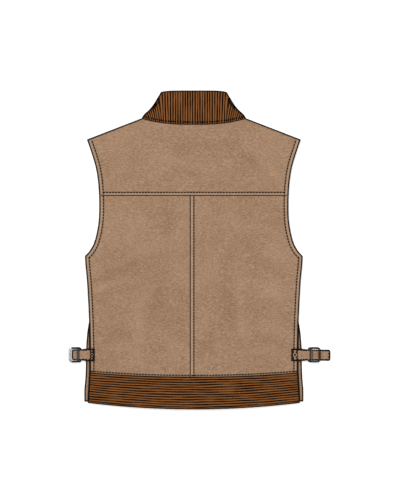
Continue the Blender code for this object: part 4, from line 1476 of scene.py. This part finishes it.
def wire_mesh(path, closed):
    """A round wire along a path, with the share of up in each point's direction from its middle line."""
    if closed:
        tangent = np.roll(path, -1, axis=0) - np.roll(path, 1, axis=0)
    else:
        tangent = np.gradient(path, axis=0)
    tangent /= np.linalg.norm(tangent, axis=1)[:, None]
    sideways = np.cross(tangent, [0.0, 0.0, 1.0])
    sideways /= np.linalg.norm(sideways, axis=1)[:, None]
    upward = np.cross(sideways, tangent)
    angles = 2 * math.pi * np.arange(WIRE_SIDES) / WIRE_SIDES
    rise_share, side_share = np.sin(angles)[None, :, None], np.cos(angles)[None, :, None]
    spokes = sideways[:, None] * side_share + upward[:, None] * rise_share
    points = (path[:, None] + WIRE_RADIUS * spokes).reshape(-1, 3)
    ids = np.arange(len(points)).reshape(len(path), WIRE_SIDES)
    rings = np.concatenate([ids, ids[:1]]) if closed else ids
    around = np.roll(rings, -1, axis=1)
    faces = np.stack([rings[:-1], around[:-1], around[1:], rings[1:]], axis=2).reshape(-1, 4).tolist()
    if not closed:
        faces += [ids[0].tolist(), ids[-1].tolist()]
    return (points, faces), spokes[..., 2].ravel()


def slider_piece(strap):
    """A bent-wire slider, its near bar under the strap and its middle bar over it."""
    half = SLIDER_WIDTH / 2 - WIRE_RADIUS
    near, far, cut = SLIDER_LENGTH - WIRE_RADIUS, WIRE_RADIUS, SLIDER_CHAMFER
    low, high = WIRE_RADIUS, SLIDER_RAISED_Z
    one_side = [
        (near, half - cut, low),
        (near - cut * 0.3, half - cut * 0.3, low),
        (near - cut, half, low + 0.2 * MM),
        (SLIDER_MIDDLE_BAR - 1.5 * MM, half, high),
        (far + cut, half, high),
        (far + cut * 0.3, half - cut * 0.3, high),
        (far, half - cut, high),
    ]
    loop = one_side + [(u, -y, z) for u, y, z in reversed(one_side)]
    bar = [(SLIDER_MIDDLE_BAR, half * share, high) for share in (1, 0.5, 0, -0.5, -1)]
    shine = SHINES[strap.side]
    parts, dark, painted_highlight = [], [], []
    for places, closed in ((loop, True), (bar, False)):
        path = np.array([(strap.side * (strap.far - u), STRAP_Y + y, z) for u, y, z in places])
        part, up = wire_mesh(rounded(path) if closed else path, closed)
        wire_points = part[0]
        from_far = strap.far - np.abs(wire_points[:, 0])
        out = np.abs(wire_points[:, 1] - STRAP_Y) / half
        if closed:
            shines = lerp(shine.far_bar, shine.rails, smooth((from_far - FAR_BAR_REACH) / SHINE_FADE))
        else:
            shines = lerp(shine.middle_bar, shine.rails, smooth((out - 0.7) / 0.3))
        parts.append(part)
        painted_highlight.append(shines)
        # Painted shade along the wire's sides, leaving a painted highlight along its top, wider where the
        # highlight is stronger
        up_to = lerp(SIDE_SHADE_UP_TO, SIDE_SHADE_UP_TO_WHERE_HIGHLIT, shines)
        dark.append(fades(up, up_to, SIDE_SHADE_FADE))
    values = {"dark": dark, "painted_highlight": painted_highlight}
    return new_piece(f"slider_{SIDE_NAMES[strap.side]}_wire", parts, METAL_LOOK, values, angle=70)


# The garment

FORMS = [StrapForm(strap) for strap in STRAPS]
pieces = {
    "back_yoke": yoke_shell(),
    "back_left": back_shell(-1),
    "back_right": back_shell(1),
    "front_left": front_shell(-1),
    "front_right": front_shell(1),
    "back_band": band_shell(),
    "collar": collar_shell(),
    "strap_left": strap_shell(FORMS[0]),
    "strap_right": strap_shell(FORMS[1]),
    "slider_left": slider_piece(STRAPS[0]),
    "slider_right": slider_piece(STRAPS[1]),
}
for node_name, piece in pieces.items():
    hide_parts(node_name)


def recessed(height_of):
    """Heights for stitches that lie in their groove, clear of the surface below."""
    return lambda x, y: np.maximum(height_of(x, y), FRONT_THREADS_Z)


yoke_top, left_top, right_top = [back_surface(panel) for panel in (YOKE, BACKS[-1], BACKS[1])]
left_armhole_stitch = mirrored(armhole_stitch)
left_of_seam = band_stitch[:, 0] < BACK_SEAM_X
on_yoke = armhole_stitch[:, 1] >= YOKE_SEAM_Y
back_runs = [
    (yoke_stitch, yoke_top, False),
    (armhole_stitch[on_yoke], yoke_top, False),
    (left_armhole_stitch[on_yoke], yoke_top, False),
    (armhole_stitch[~on_yoke], right_top, False),
    (left_armhole_stitch[~on_yoke], left_top, False),
    (side_stitch, right_top, False),
    (mirrored(side_stitch), left_top, False),
    (back_seam_stitch, right_top, False),
    (band_stitch[left_of_seam], left_top, False),
    (band_stitch[~left_of_seam], right_top, False),
]
collar_runs = [(collar_stitch, collar_surface, False)]
strap_runs = [run for form in FORMS for run in strap_stitching(form)]
front_runs = [
    (line, recessed(front_lower_surface(side)), True) for side in (-1, 1) for line in FRONTS[side].stitches
]
back_stitches = sew("back_stitches", back_runs, 11)
collar_stitches = sew("collar_stitches", collar_runs, 12, COLLAR_STITCH_WIDTH)
strap_stitches = sew("strap_stitches", strap_runs, 13)
front_stitches = sew("front_stitches", front_runs, 14)

for k in range(1, STUDS + 1):
    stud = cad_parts[f"stud_{k}"]
    stud.data.materials.clear()
    stud.data.materials.append(METAL_LOOK)


# Surroundings

PHOTO_ROWS = 500
PIXEL = 2.315 * MM


def area_light(name, place, size, energy):
    data = bpy.data.lights.new(name, "AREA")
    data.shape = "DISK"
    data.size = size
    data.energy = energy
    light = bpy.data.objects.new(name, data)
    light.location = place
    light.rotation_euler = (-light.location).to_track_quat("-Z", "Y").to_euler()
    bpy.context.scene.collection.objects.link(light)


def build_surroundings():
    bpy.ops.mesh.primitive_plane_add(size=12, location=(0, 0, 0))
    floor = bpy.context.object
    floor.name = "floor"
    floor.data.materials.append(floor_material("pale_table_look", (0.93, 0.93, 0.93, 1)))

    world = bpy.data.worlds.new("soft_surroundings")
    world.use_nodes = True
    background = world.node_tree.nodes["Background"]
    background.inputs["Color"].default_value = (1, 1, 1, 1)
    background.inputs["Strength"].default_value = 0.62
    bpy.context.scene.world = world
    area_light("key", place=(-2.6, 3.4, 4.2), size=2.4, energy=225)
    area_light("fill", place=(2.8, -1.8, 4.2), size=3.4, energy=96)

    camera_data = bpy.data.cameras.new("camera")
    camera_data.type = "ORTHO"
    camera_data.ortho_scale = PHOTO_ROWS * PIXEL
    camera = bpy.data.objects.new("camera", camera_data)
    camera.location = (0.8 * MM, 0, 2)
    bpy.context.scene.collection.objects.link(camera)
    bpy.context.scene.camera = camera
    bpy.context.scene.view_settings.view_transform = "Standard"
    bpy.context.scene.view_settings.look = "None"


build_surroundings()
